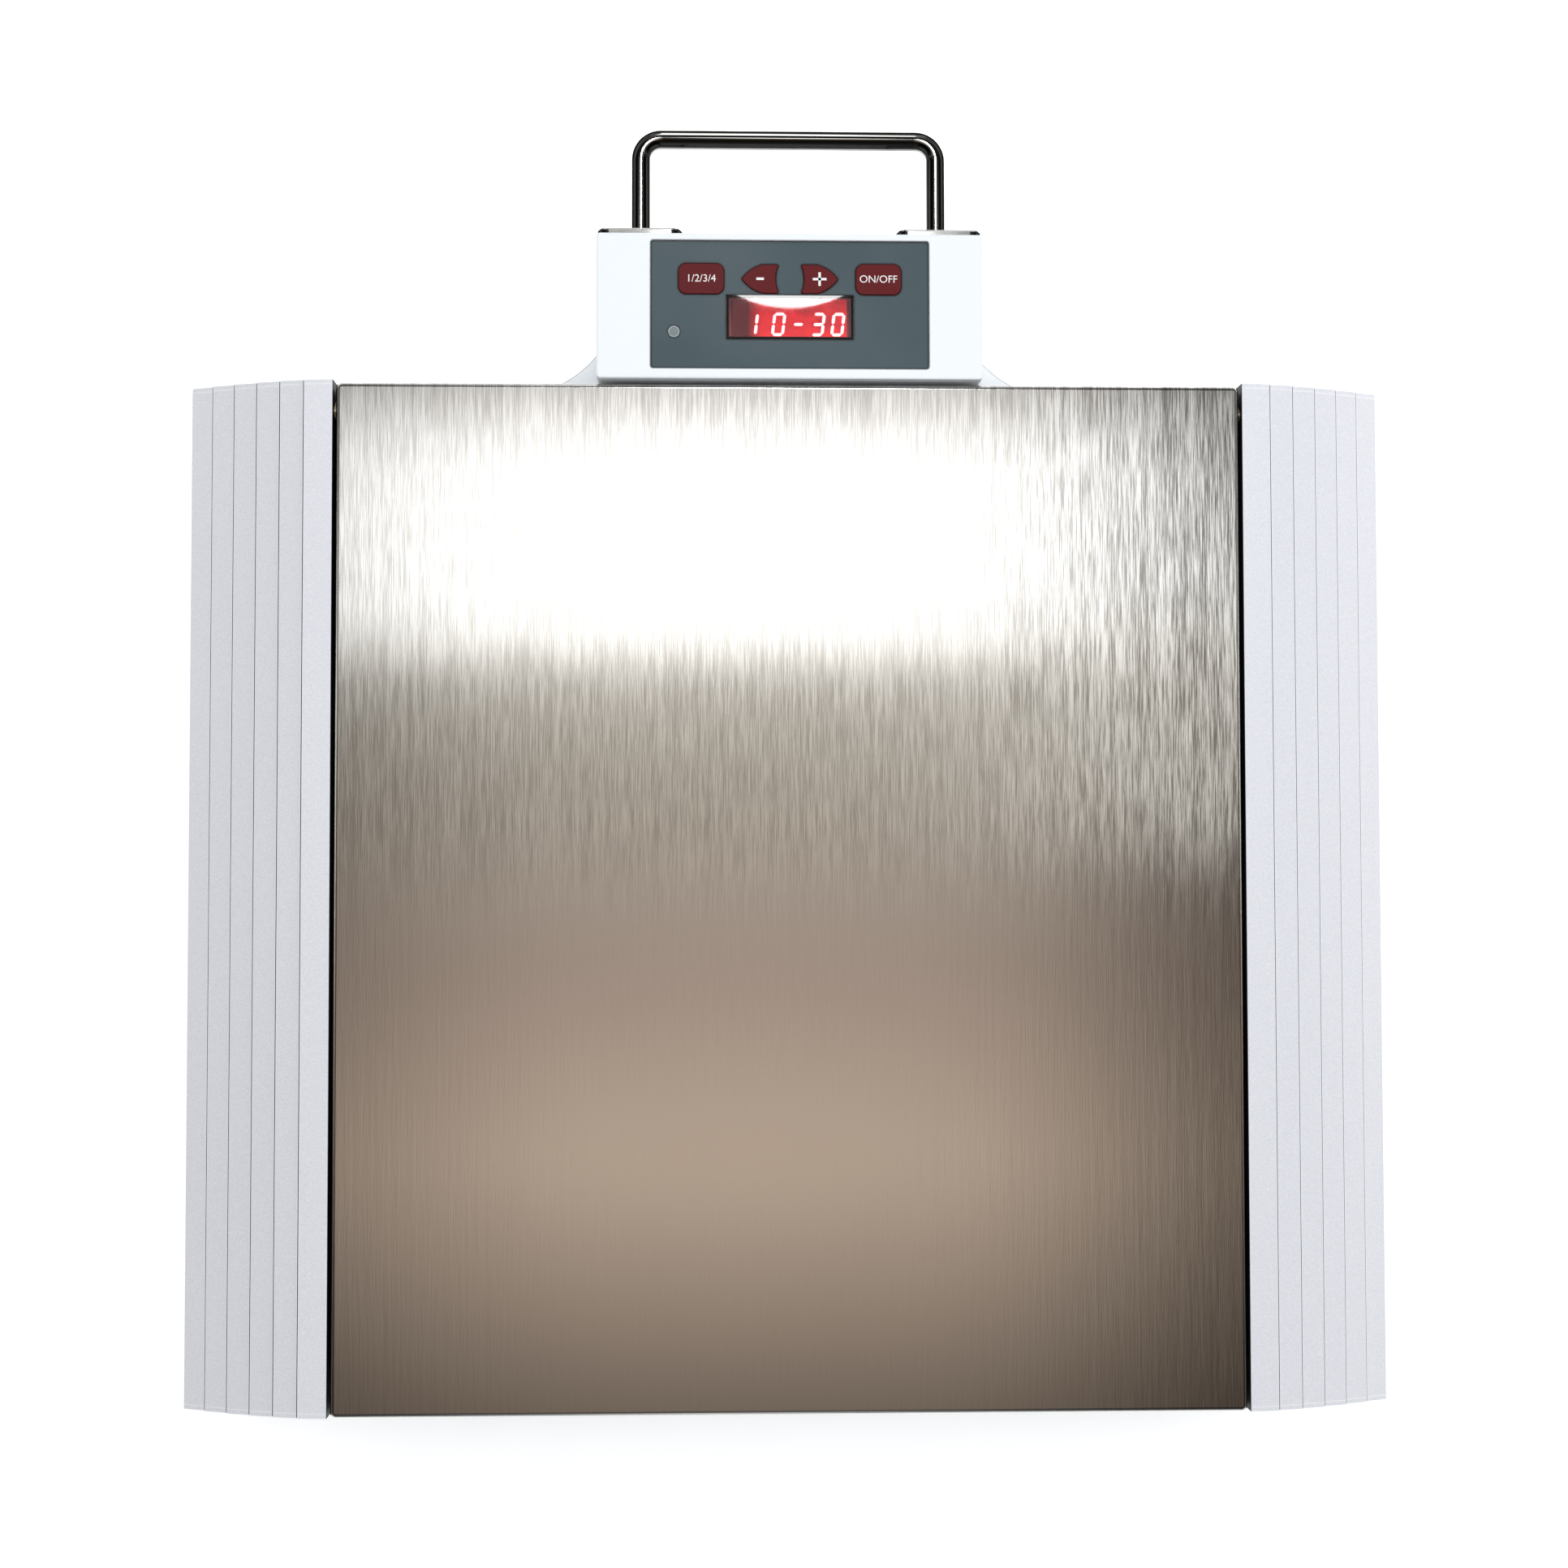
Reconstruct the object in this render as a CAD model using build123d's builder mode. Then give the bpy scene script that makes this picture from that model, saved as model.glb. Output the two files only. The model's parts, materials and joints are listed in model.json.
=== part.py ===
"""Bench-top reflow oven: a hinged lid between two stepped side profiles, a console and a handle at the rear.

Millimetres. +X is right, +Y is to the rear, +Z is up. The origin is the bottom centre of the whole object.
"""

from build123d import *
from math import cos, radians, sin, sqrt
import os

os.makedirs("parts", exist_ok=True)

# Lid
lid_width = 396.0
lid_length = 447.5
lid_skirt = 34.0
lid_sheet = 1.2
lid_bend = 2.0
lid_corner = 2.5
lid_inner_corner = 0.6
lid_return = 13.0
lid_gap = 1.2
rim_inset = 0.4

# Heights of the body
top_height = 108.0
foot_height = 10.0
base_sheet = 2.0
gasket_height = 3.7
seal_gap = 0.3

# Side profiles: one wide facet beside the lid, then equal facets that step down to a fluted outer wall
top_facet = 12.6
top_facet_slope = 4.0
facet_width = 11.1
facet_first_slope = 11.0
facet_slope_step = 3.0
facet_drop = 1.2
facet_count = 5
profile_wall = 2.5
groove_width = 0.6
groove_depth = 0.8
port_radius = 3.6
port_bore = 1.5
port_inset = 2.6
port_screw_length = 12.0
cap_thickness = 2.0

# Oven chamber
tub_side_margin = 28.0
bay_depth = 48.5
tub_corner = 6.0
tub_sheet = 1.0
tub_flange = 19.0
insulation_floor = 15.0
insulation_wall = 12.0
gasket_inset = 4.0
gasket_width = 10.0
recess_height = 18.0
pan_sheet = 1.0
lid_slab_margin = 15.0

# Quartz heaters, the same in the lid and in the tub
heater_count = 4
tube_radius = 5.0
tube_wall = 1.0
ceramic_radius = 6.5
ceramic_length = 16.0
ceramic_depth = 8.0
heater_clearance = 8.5
bracket_sheet = 1.0
bracket_inset = 24.0
reflector_sheet = 0.8
reflector_rise = 7.0

# Board rack
rack_frame_radius = 2.0
rack_wire_radius = 1.5
rack_wire_spacing = 30.0
rack_end_gap = 23.0
rack_wall_gap = 6.0
rack_ledge = 12.0
rack_ledge_height = 20.0
rack_ledge_leg = 11.0
rack_ledge_inset = 15.0

# Front and rear panels
finger_depth = 14.0
front_margin = 22.0
panel_sheet = 1.2
front_tab = 18.0
floor_tab_gap = 0.5
rear_shelf = 46.0
panel_side_gap = 0.3
rear_overhang = 1.2
rail_sheet = 1.5
rail_width = 18.0
rail_leg = 20.0
base_margin = 4.0
vent_slot_width = 4.0
vent_slot_length = 26.0
vent_slot_rise = 2.0
vent_pitch = 10.0
vent_count = 12
panel_screw_inset = 48.9
panel_screw_count = 4

# Hinge
hinge_down = 6.5
hinge_forward = 12.0
hinge_pin_radius = 2.5
hinge_running = 0.05
bush_wall = 1.5
bush_flange = 1.1
bush_length = 1.5
pin_head_radius = 3.5
pin_head = 2.0

# Console and its bracket
bracket_plate = 4.0
tongue_inset = 9.0
bracket_drop = 25.0
bracket_side_gap = 9.0
bracket_screw_inset = 34.5
bracket_screw_spacing = 12.0
gusset_thickness = 3.0
gusset_spacing = 100.0
gusset_reach = 40.0
console_gap = 1.5
console_width = 169.0
console_depth = 64.0
console_rise = 4.0
console_wall = 2.5
console_top_wall = 3.0
console_corner = 1.5
cover_thickness = 2.0
cover_clearance = 0.2
console_screw_inset = 19.5
console_screw_y = 18.0

# Keypad
overlay_width = 122.0
overlay_depth = 56.5
overlay_shift = 0.7
overlay_thickness = 0.8
overlay_recess = 0.8
overlay_corner = 1.2
overlay_clearance = 0.2
key_width = 19.8
key_depth = 13.4
key_corner = 3.4
key_spacing = 77.6
key_row = 11.3
arrow_depth = 12.6
arrow_inner = 4.9
arrow_hollow = 1.4
arrow_shoulder = 12.0
arrow_tip = 21.0
arrow_bulge = 0.9
arrow_corner = 0.5
key_clearance = 0.25
key_rise = 0.5
key_travel = 0.5
key_flange = 1.2
key_flange_margin = 1.0
stem_radius = 2.0
stem_length = 3.0
window_width = 55.7
window_depth = 19.4
window_row = -5.5
window_thickness = 0.6
window_ledge = 1.0
window_clearance = 0.1
lamp_inset = 19.3
lamp_row = -12.0
lamp_radius = 2.5
lamp_flange = 0.6
lamp_leg_radius = 1.2

# Control electronics
board_side_gap = 12.0
board_depth = 50.0
board_thickness = 1.6
switch_body = 6.0
switch_height = 3.6
plunger_radius = 1.7
plunger_height = 1.4
plunger_gap = 0.1
module_width = 50.0
module_depth = 17.0
module_gap = 0.3
standoff_radius = 3.0
standoff_inset = 8.0
standoff_y = 20.0
power_standoff = 6.0
power_board_width = 180.0
power_board_depth = 34.0
power_standoff_inset = 6.0
power_standoff_y = 12.0
transformer_x = -60.0
transformer_width = 32.0
transformer_depth = 26.0
transformer_height = 24.0
relay_spacing = 53.0
relay_width = 20.0
relay_depth = 16.0
terminal_x = 64.0
terminal_width = 34.0
terminal_depth = 11.0
terminal_height = 10.0
cable_plug = 10.0
cable_plug_height = 6.0

# Carry handle
handle_radius = 4.0
handle_inset = 18.85
handle_projection = 51.0
handle_bend = 9.0
rosette_side = 37.0
rosette_corner = 5.0
rosette_bevel = 0.8
rosette_rise = 2.5
rosette_clearance = 0.05
handle_screw_radius = 2.0
handle_screw_depth = 10.0
handle_screw_fit = 0.05
handle_screw_head = 4.0

# Fan
fan_depth = 15.0
fan_margin = 3.5
fan_wall = 2.0
fan_side_gap = 9.2
fan_corner = 3.0
fan_screw_inset = 5.0
fan_hub_radius = 10.0
fan_hub_round = 1.5
fan_hub_gap = 0.5
fan_tip_gap = 0.8
fan_blades = 7
blade_thickness = 1.2
blade_root_turn = 52.0
blade_tip_turn = 58.0
blade_root_chord = 9.6
blade_tip_chord = 12.0
blade_overlap = 1.0
fan_shaft_radius = 1.5
stator_depth = 3.0
strut_width = 3.0
guard_slot = 3.0
guard_ring_pitch = 5.4
guard_spoke = 2.4

# Mains inlet and switch
inlet_side_gap = 11.7
inlet_face_width = 31.0
inlet_face_height = 25.0
inlet_face = 3.0
inlet_body_width = 27.5
inlet_body_height = 20.0
inlet_body_depth = 22.0
socket_width = 24.5
socket_height = 17.0
socket_depth = 16.0
socket_chamfer = 5.0
inlet_corner = 2.0
blade_spacing = 14.0
blade_offset = 2.0
contact_width = 2.0
contact_height = 4.0
contact_length = 14.0
power_switch_gap = 8.0
power_switch_width = 15.0
power_switch_height = 22.0
power_switch_face = 2.0
power_switch_body_depth = 16.0
power_switch_rim = 1.6
power_switch_corner = 1.5
power_switch_back = 2.0
switch_end_wall = 0.5
rocker_side_wall = 1.0
rocker_side_gap = 0.3
rocker_half_length = 8.0
rocker_tail = 3.5
rocker_root = 0.5
rocker_crest = 3.9
rocker_dip = 2.6
rocker_swing = 16.0
rocker_pivot_radius = 1.25
cutout_clearance = 0.2

# Small parts
screw_clearance = 0.1
screw_radius = 1.4
screw_head_radius = 2.7
screw_head_height = 1.5
foot_radius = 11.0
foot_inset_x = 36.0
foot_inset_y = 40.0
foot_screw_radius = 2.0
foot_recess_radius = 5.0
foot_recess_depth = 5.0
bumper_radius = 3.5
bumper_taper = 12.0
bumper_front = 130.0
bumper_rear = 110.0
rim_screw_pitch = 120.0
rim_screw_count = 4
rim_screw_shift = -10.0
lip_screw_pitch = 90.0
foot_taper = 1.0
cable_radius = 3.0
cable_bend = 12.0
cable_rise = 8.0
grommet_flange = 2.0
grommet_lip = 1.2
probe_radius = 1.5
probe_length = 45.0
probe_x = 100.0
probe_nut_radius = 4.0
probe_nut_length = 5.0
probe_rise = 3.5

# Heights
z_floor = foot_height + base_sheet
z_lid_bottom = top_height - lid_skirt
z_skirt_bottom = z_lid_bottom + pan_sheet
z_gasket_top = z_lid_bottom - seal_gap
z_flange_top = z_gasket_top - gasket_height
z_rim = z_flange_top - tub_sheet
z_tub_floor = z_floor + insulation_floor + tub_sheet
z_recess = z_lid_bottom + recess_height
z_upper_tube = z_recess - heater_clearance
z_lower_tube = z_tub_floor + heater_clearance
z_ledge = z_tub_floor + rack_ledge_height
z_hinge = top_height - hinge_down
z_bracket = z_rim + bracket_plate
z_console_top = top_height + console_rise
z_key_wall = z_console_top - console_top_wall
z_pocket = z_console_top - overlay_recess - overlay_thickness
z_overlay = z_pocket + overlay_thickness
z_plunger = z_key_wall - key_flange - stem_length - key_travel - plunger_gap
z_board = z_plunger - plunger_height - switch_height
z_cable = z_rim - bracket_drop + cable_rise
z_fan = (z_floor + z_rim) / 2
z_inlet = z_fan
fan_size = z_rim - z_floor - 2 * fan_margin
fan_bore = fan_size - 2 * fan_wall
fan_screw_spacing = fan_size - 2 * fan_screw_inset
guard_rings = int(fan_bore / 2 / guard_ring_pitch)

# Places from front to rear
total_length = lid_length + console_gap + console_depth + handle_projection
y_front = -total_length / 2
y_lid = y_front + lid_length / 2
y_lid_rear = y_front + lid_length
y_body_rear = y_lid_rear + rear_overhang
y_body = (y_front + y_body_rear) / 2
y_panel = y_front + finger_depth
y_bay = y_body_rear - panel_sheet - bay_depth
y_tub_front = y_panel + front_margin
y_tub_rear = y_bay - insulation_wall - tub_sheet
tub_length = y_tub_rear - y_tub_front
tub_width = lid_width - 2 * tub_side_margin
y_tub = (y_tub_front + y_tub_rear) / 2
y_hinge = y_lid_rear - hinge_forward
y_console_front = y_lid_rear + console_gap
y_console = y_console_front + console_depth / 2
y_console_rear = y_console_front + console_depth
y_overlay = y_console + overlay_shift
y_handle = y_console_rear + handle_projection - handle_radius
z_handle = (z_bracket + z_console_top) / 2
x_profile = lid_width / 2 + lid_gap
heater_pitch = tub_length / heater_count
x_bracket = tub_width / 2 - bracket_inset
x_fan = fan_side_gap + fan_size / 2 - x_profile
x_inlet = x_profile - inlet_side_gap - inlet_face_width / 2
x_switch = x_inlet - (inlet_face_width + power_switch_width) / 2 - power_switch_gap
x_handle = console_width / 2 - handle_inset
board_width = console_width - 2 * (console_wall + board_side_gap)
standoff_x = board_width / 2 - standoff_inset
lamp_x = lamp_inset - board_width / 2
console_screw_x = console_width / 2 - console_screw_inset
tongue_half_width = console_width / 2 - tongue_inset
root_half_width = x_switch - power_switch_width / 2 - bracket_side_gap
root_radius = root_half_width - tongue_half_width
bracket_screw_x = root_half_width - bracket_screw_inset
power_standoff_x = power_board_width / 2 - power_standoff_inset
floor_tab = front_margin - tub_sheet - insulation_wall - floor_tab_gap


def across(y):
    """The upright XZ plane at y, facing the front."""
    return Plane.XZ.offset(-y)


def rearward(x, y, z):
    """A plane at the point that faces the rear, with its own x axis across the oven."""
    return Plane((x, y, z), x_dir=(-1, 0, 0), z_dir=(0, 1, 0))


def forward(x, y, z):
    """A plane at the point that faces the front."""
    return Plane((x, y, z), x_dir=(1, 0, 0), z_dir=(0, -1, 0))


def upward(x, y, z):
    """A level plane at the point, facing up."""
    return Plane((x, y, z))


def downward(x, y, z):
    """A level plane at the point, facing down."""
    return Plane((x, y, z), x_dir=(1, 0, 0), z_dir=(0, 0, -1))


def locations(planes):
    return Locations(*[plane.location for plane in planes])


def pan_screws(planes, length, radius=screw_radius, head_radius=screw_head_radius):
    """Add a pan-head screw on each plane, head out along the plane's normal."""
    with locations(planes):
        Cylinder(head_radius, screw_head_height, align=(Align.CENTER, Align.CENTER, Align.MIN))
        Cylinder(radius, length, align=(Align.CENTER, Align.CENTER, Align.MAX))


def sunk_screws(planes, length, radius=screw_radius, head_radius=screw_head_radius):
    """Add a countersunk screw on each plane, flush with it."""
    with locations(planes):
        Cone(radius, head_radius, head_radius - radius, align=(Align.CENTER, Align.CENTER, Align.MAX))
        Cylinder(radius, length, align=(Align.CENTER, Align.CENTER, Align.MAX))


def sunk_holes(planes, depth, radius=screw_radius, head_radius=screw_head_radius):
    """Cut a countersunk clearance hole on each plane."""
    with locations(planes):
        CounterSinkHole(radius + screw_clearance, head_radius + screw_clearance, depth=depth)


def round_holes(planes, depth, radius):
    """Cut a plain hole of the given radius on each plane, to both sides of it."""
    with locations(planes):
        Cylinder(radius, 2 * depth, mode=Mode.SUBTRACT)


def write(piece, name):
    piece.label = name
    export_step(piece, "parts/" + name + ".step")


# ---------------------------------------------------------------- side profiles


def facet_corners():
    """The corners of the right profile's top in the XZ plane, from the lid outwards, two to each step."""
    x = x_profile + top_facet * cos(radians(top_facet_slope))
    z = top_height - top_facet * sin(radians(top_facet_slope))
    corners = [(x_profile, top_height), (x, z)]
    for slope in facet_slopes:
        z = z - facet_drop
        corners.append((x, z))
        x = x + facet_width * cos(radians(slope))
        z = z - facet_width * sin(radians(slope))
        corners.append((x, z))
    return corners


facet_slopes = [facet_first_slope + facet_slope_step * i for i in range(facet_count)]
top_corners = facet_corners()
step_feet = top_corners[2::2]
x_outer, z_shoulder = top_corners[-1]
flute_count = int((z_shoulder - z_floor) / facet_width)
ports = [
    (x_profile + profile_wall + port_inset, z_floor + profile_wall + port_inset),
    (x_outer - profile_wall - port_inset, z_floor + profile_wall + port_inset),
    (x_profile + profile_wall + port_inset, z_lid_bottom + lid_skirt / 3),
    (x_outer - profile_wall - port_inset, z_shoulder - facet_width),
]


def profile_outline():
    """Draw the grooved outline of the right profile in the current sketch."""
    with BuildLine() as outline:
        Polyline(*top_corners, (x_outer, z_floor), (x_profile, z_floor), close=True)
    make_face(outline.edges())


def profile_grooves():
    """Cut the grooves along the feet of the steps and down the outer wall."""
    for (x, z), slope in zip(step_feet, facet_slopes):
        with Locations(Location((x, z, 0), (0, 0, -slope))):
            Rectangle(groove_width, 2 * groove_depth, align=(Align.MIN, Align.CENTER), mode=Mode.SUBTRACT)
    with Locations(*[(x_outer, z_shoulder - facet_width * i) for i in range(1, flute_count + 1)]):
        Rectangle(2 * groove_depth, groove_width, mode=Mode.SUBTRACT)


foot_places = [
    (x, y)
    for x in (-x_outer + foot_inset_x, x_outer - foot_inset_x)
    for y in (y_front + foot_inset_y, y_body_rear - foot_inset_y)
]
foot_planes = [downward(x, y, foot_recess_depth) for x, y in foot_places]
hinge_pin_right = Plane((x_profile, y_hinge, z_hinge), x_dir=(0, 1, 0), z_dir=(1, 0, 0))

with BuildPart() as side_profile_right:
    with BuildSketch(across(y_body_rear - cap_thickness)):
        profile_outline()
        offset(amount=-profile_wall, kind=Kind.INTERSECTION, mode=Mode.SUBTRACT)
        with Locations(*ports):
            Circle(port_radius)
        with Locations(*ports):
            Circle(port_bore, mode=Mode.SUBTRACT)
        profile_grooves()
    extrude(amount=y_body_rear - y_front - 2 * cap_thickness)
    round_holes([hinge_pin_right], profile_wall, hinge_pin_radius)
    round_holes(foot_planes, foot_height, foot_screw_radius + screw_clearance)

with BuildPart() as side_profile_left:
    mirror(side_profile_right.part, about=Plane.YZ)


def end_caps(y, screw_planes):
    """A pair of plates that close the profiles' ends, from y towards the front."""
    with BuildPart() as pair:
        with BuildSketch(across(y)):
            profile_outline()
            profile_grooves()
        extrude(amount=cap_thickness)
        sunk_holes(screw_planes, 2 * cap_thickness)
        mirror(about=Plane.YZ)
    return pair.part


cap_front_screws = [forward(x, y_front, z) for x, z in ports]
cap_rear_screws = [rearward(x, y_body_rear, z) for x, z in ports]
profile_caps_front = end_caps(y_front + cap_thickness, cap_front_screws)
profile_caps_rear = end_caps(y_body_rear, cap_rear_screws)

with BuildPart() as cap_screws:
    sunk_screws(cap_front_screws + cap_rear_screws, port_screw_length)
    mirror(about=Plane.YZ)

# ---------------------------------------------------------------- base plate, feet and panels

base_depth = y_body_rear - y_front - 2 * base_margin
y_bay_middle = (y_bay + y_body_rear - panel_sheet) / 2
panel_half_width = x_profile - panel_side_gap
panel_screw_reach = panel_half_width - panel_screw_inset
panel_screw_pitch = 2 * panel_screw_reach / (panel_screw_count - 1)
panel_screw_x = [panel_screw_pitch * i - panel_screw_reach for i in range(panel_screw_count)]
panel_screw_planes = [
    downward(x, y, foot_height)
    for x in panel_screw_x
    for y in (y_panel + panel_sheet + floor_tab / 2, y_body_rear - panel_sheet - floor_tab / 2)
]

with BuildPart() as base_plate:
    with BuildSketch(Plane((0, y_body, foot_height))):
        RectangleRounded(2 * (x_outer - base_margin), base_depth, base_margin)
    extrude(amount=base_sheet)
    with BuildSketch(Plane((0, y_bay_middle, foot_height))):
        with GridLocations(vent_pitch, 0, vent_count, 1):
            SlotOverall(vent_slot_length, vent_slot_width, rotation=90)
    extrude(amount=base_sheet, mode=Mode.SUBTRACT)
    round_holes(foot_planes, foot_height, foot_screw_radius + screw_clearance)
    round_holes(panel_screw_planes, base_sheet + panel_sheet, screw_radius + screw_clearance)

with BuildPart() as rubber_feet:
    for x, y in foot_places:
        with BuildSketch(upward(x, y, 0)):
            Circle(foot_radius - foot_taper)
        with BuildSketch(upward(x, y, foot_height)):
            Circle(foot_radius)
        loft()
        with BuildSketch(upward(x, y, 0)):
            Circle(foot_recess_radius)
        extrude(amount=foot_recess_depth, mode=Mode.SUBTRACT)
    round_holes(foot_planes, foot_height, foot_screw_radius + screw_clearance)

with BuildPart() as foot_screws:
    pan_screws(foot_planes, foot_recess_depth + base_sheet + profile_wall / 2, radius=foot_screw_radius,
               head_radius=foot_recess_radius - 2 * screw_clearance)


def folded_panel(y_face, inward, top_tab):
    """A sheet between the profiles with a tab at the floor and one at the rim; inward is +1 or -1."""
    with BuildPart() as panel:
        with BuildSketch(Plane.YZ):
            with BuildLine():
                Polyline(
                    (y_face + inward * floor_tab, z_floor),
                    (y_face, z_floor),
                    (y_face, z_rim),
                    (y_face + inward * top_tab, z_rim),
                    (y_face + inward * top_tab, z_rim - panel_sheet),
                    (y_face + inward * panel_sheet, z_rim - panel_sheet),
                    (y_face + inward * panel_sheet, z_floor + panel_sheet),
                    (y_face + inward * floor_tab, z_floor + panel_sheet),
                    close=True,
                )
            make_face()
        extrude(amount=panel_half_width, both=True)
        bends = panel.edges().filter_by(Axis.X).filter_by(lambda edge: abs(edge.center().Y - y_face) < 0.01)
        fillet(bends, radius=panel_sheet)
        round_holes(panel_screw_planes, base_sheet + panel_sheet, screw_radius + screw_clearance)
    return panel.part


front_panel = folded_panel(y_panel, 1, front_tab)

bracket_screw_planes = [
    rearward(x, y_body_rear + bracket_plate, z_rim - bracket_drop / 2 + dz)
    for x in (-bracket_screw_x, bracket_screw_x)
    for dz in (-bracket_screw_spacing / 2, bracket_screw_spacing / 2)
]
cable_plane = rearward(0, y_body_rear + bracket_plate, z_cable)
fan_screw_planes = [
    rearward(x_fan + dx, y_body_rear, z_fan + dz)
    for dx in (-fan_screw_spacing / 2, fan_screw_spacing / 2)
    for dz in (-fan_screw_spacing / 2, fan_screw_spacing / 2)
]
z_slots = (z_floor + z_rim - bracket_drop) / 2 + vent_slot_rise

with BuildPart() as rear_panel:
    add(folded_panel(y_body_rear, -1, rear_shelf))
    with BuildSketch(rearward(x_fan, y_body_rear, z_fan)):
        for ring in range(guard_rings):
            radius = fan_bore / 2 - guard_ring_pitch * ring
            Circle(radius)
            Circle(radius - guard_slot, mode=Mode.SUBTRACT)
        with PolarLocations(0, 3):
            Rectangle(fan_bore * 2, guard_spoke, mode=Mode.SUBTRACT)
    extrude(amount=-panel_sheet, mode=Mode.SUBTRACT)
    with BuildSketch(rearward(0, y_body_rear, z_slots)):
        with GridLocations(vent_pitch, 0, vent_count, 1):
            SlotOverall(vent_slot_length / 2 + vent_slot_width, vent_slot_width, rotation=90)
    extrude(amount=-panel_sheet, mode=Mode.SUBTRACT)
    with BuildSketch(rearward(x_inlet, y_body_rear, z_inlet)):
        Rectangle(inlet_body_width + 2 * cutout_clearance, inlet_body_height + 2 * cutout_clearance)
    extrude(amount=-panel_sheet, mode=Mode.SUBTRACT)
    with BuildSketch(rearward(x_switch, y_body_rear, z_inlet)):
        Rectangle(
            power_switch_width - 2 * power_switch_rim + 2 * cutout_clearance,
            power_switch_height - 2 * power_switch_rim + 2 * cutout_clearance,
        )
    extrude(amount=-panel_sheet, mode=Mode.SUBTRACT)
    round_holes(bracket_screw_planes, bracket_plate + panel_sheet, screw_radius + screw_clearance)
    round_holes(fan_screw_planes, panel_sheet, screw_radius + screw_clearance)
    round_holes([cable_plane], bracket_plate + panel_sheet, cable_radius + grommet_flange)

with BuildPart() as support_rails:
    with BuildSketch(across(y_body_rear - rear_shelf)):
        for side in (-1, 1):
            with BuildLine():
                Polyline(
                    (side * x_profile, z_rim),
                    (side * (x_profile - rail_width), z_rim),
                    (side * (x_profile - rail_width), z_rim - rail_sheet),
                    (side * (x_profile - rail_sheet), z_rim - rail_sheet),
                    (side * (x_profile - rail_sheet), z_rim - rail_leg),
                    (side * x_profile, z_rim - rail_leg),
                    close=True,
                )
            make_face()
    extrude(amount=y_body_rear - rear_shelf - y_panel - front_tab)

# ---------------------------------------------------------------- tub and its insulation


def rounded_block(width, length, height, z, corner=tub_corner, mode=Mode.ADD):
    """A block over the tub's centre, from z upwards."""
    with BuildSketch(Plane((0, y_tub, z))) as plan:
        RectangleRounded(width, length, corner)
    extrude(plan.sketch, amount=height, mode=mode)


probe_y = y_tub + tub_length / 2
probe_z = z_lower_tube + ceramic_radius + probe_rise
probe_plane = rearward(probe_x, probe_y, probe_z)

with BuildPart() as liner_tub:
    rounded_block(tub_width + 2 * tub_sheet, tub_length + 2 * tub_sheet,
                  z_flange_top - z_tub_floor + tub_sheet, z_tub_floor - tub_sheet, tub_corner + tub_sheet)
    rounded_block(tub_width + 2 * tub_flange + 2 * tub_sheet, tub_length + 2 * tub_flange + 2 * tub_sheet,
                  tub_sheet, z_rim, 2 * tub_corner)
    rounded_block(tub_width, tub_length, z_flange_top - z_tub_floor, z_tub_floor, mode=Mode.SUBTRACT)
    round_holes([probe_plane], 2 * tub_sheet, probe_radius + screw_clearance)

with BuildPart() as base_insulation:
    around = 2 * (tub_sheet + insulation_wall)
    rounded_block(tub_width + around, tub_length + around, z_rim - rail_sheet - z_floor, z_floor)
    inside = 2 * tub_sheet
    z_cavity = z_tub_floor - tub_sheet
    cavity_corner = tub_corner + tub_sheet
    rounded_block(tub_width + inside, tub_length + inside, z_rim, z_cavity, cavity_corner, Mode.SUBTRACT)
    round_holes([probe_plane], 2 * insulation_wall, probe_nut_radius + screw_clearance)

with BuildPart() as tub_gasket:
    around = 2 * (gasket_inset + gasket_width)
    inside = 2 * gasket_inset
    gasket_corner = tub_corner + gasket_width
    rounded_block(tub_width + around, tub_length + around, gasket_height, z_flange_top, gasket_corner)
    rounded_block(tub_width + inside, tub_length + inside, gasket_height, z_flange_top, mode=Mode.SUBTRACT)

with BuildPart() as lower_reflector:
    with BuildSketch(Plane.YZ):
        for heater in range(heater_count):
            y_left = y_tub - tub_length / 2 + heater_pitch * heater
            y_middle = y_left + heater_pitch / 2
            y_right = y_left + heater_pitch
            with BuildLine():
                ThreePointArc((y_left, z_tub_floor + reflector_rise), (y_middle, z_tub_floor),
                              (y_right, z_tub_floor + reflector_rise))
                Line((y_right, z_tub_floor + reflector_rise),
                     (y_right, z_tub_floor + reflector_rise + reflector_sheet))
                ThreePointArc((y_right, z_tub_floor + reflector_rise + reflector_sheet),
                              (y_middle, z_tub_floor + reflector_sheet),
                              (y_left, z_tub_floor + reflector_rise + reflector_sheet))
                Line((y_left, z_tub_floor + reflector_rise + reflector_sheet),
                     (y_left, z_tub_floor + reflector_rise))
            make_face()
    extrude(amount=x_bracket - bracket_sheet, both=True)

with BuildPart() as thermocouple:
    with BuildSketch(probe_plane.offset(-probe_length)):
        Circle(probe_radius)
    extrude(amount=probe_length + tub_sheet + insulation_wall)
    with BuildSketch(probe_plane.offset(tub_sheet)):
        RegularPolygon(probe_nut_radius, 6)
    extrude(amount=probe_nut_length)

# ---------------------------------------------------------------- heaters

heater_rows = [y_tub + heater_pitch * (i - (heater_count - 1) / 2) for i in range(heater_count)]


def heater_planes(x, z):
    """A plane facing +X on each heater's axis."""
    return [Plane((x, y, z), x_dir=(0, 1, 0), z_dir=(1, 0, 0)) for y in heater_rows]


def quartz_tubes(z):
    with BuildPart() as tubes:
        for plane in heater_planes(0, z):
            with BuildSketch(plane):
                Circle(tube_radius)
                Circle(tube_radius - tube_wall, mode=Mode.SUBTRACT)
            extrude(amount=x_bracket + ceramic_depth, both=True)
    return tubes.part


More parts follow.
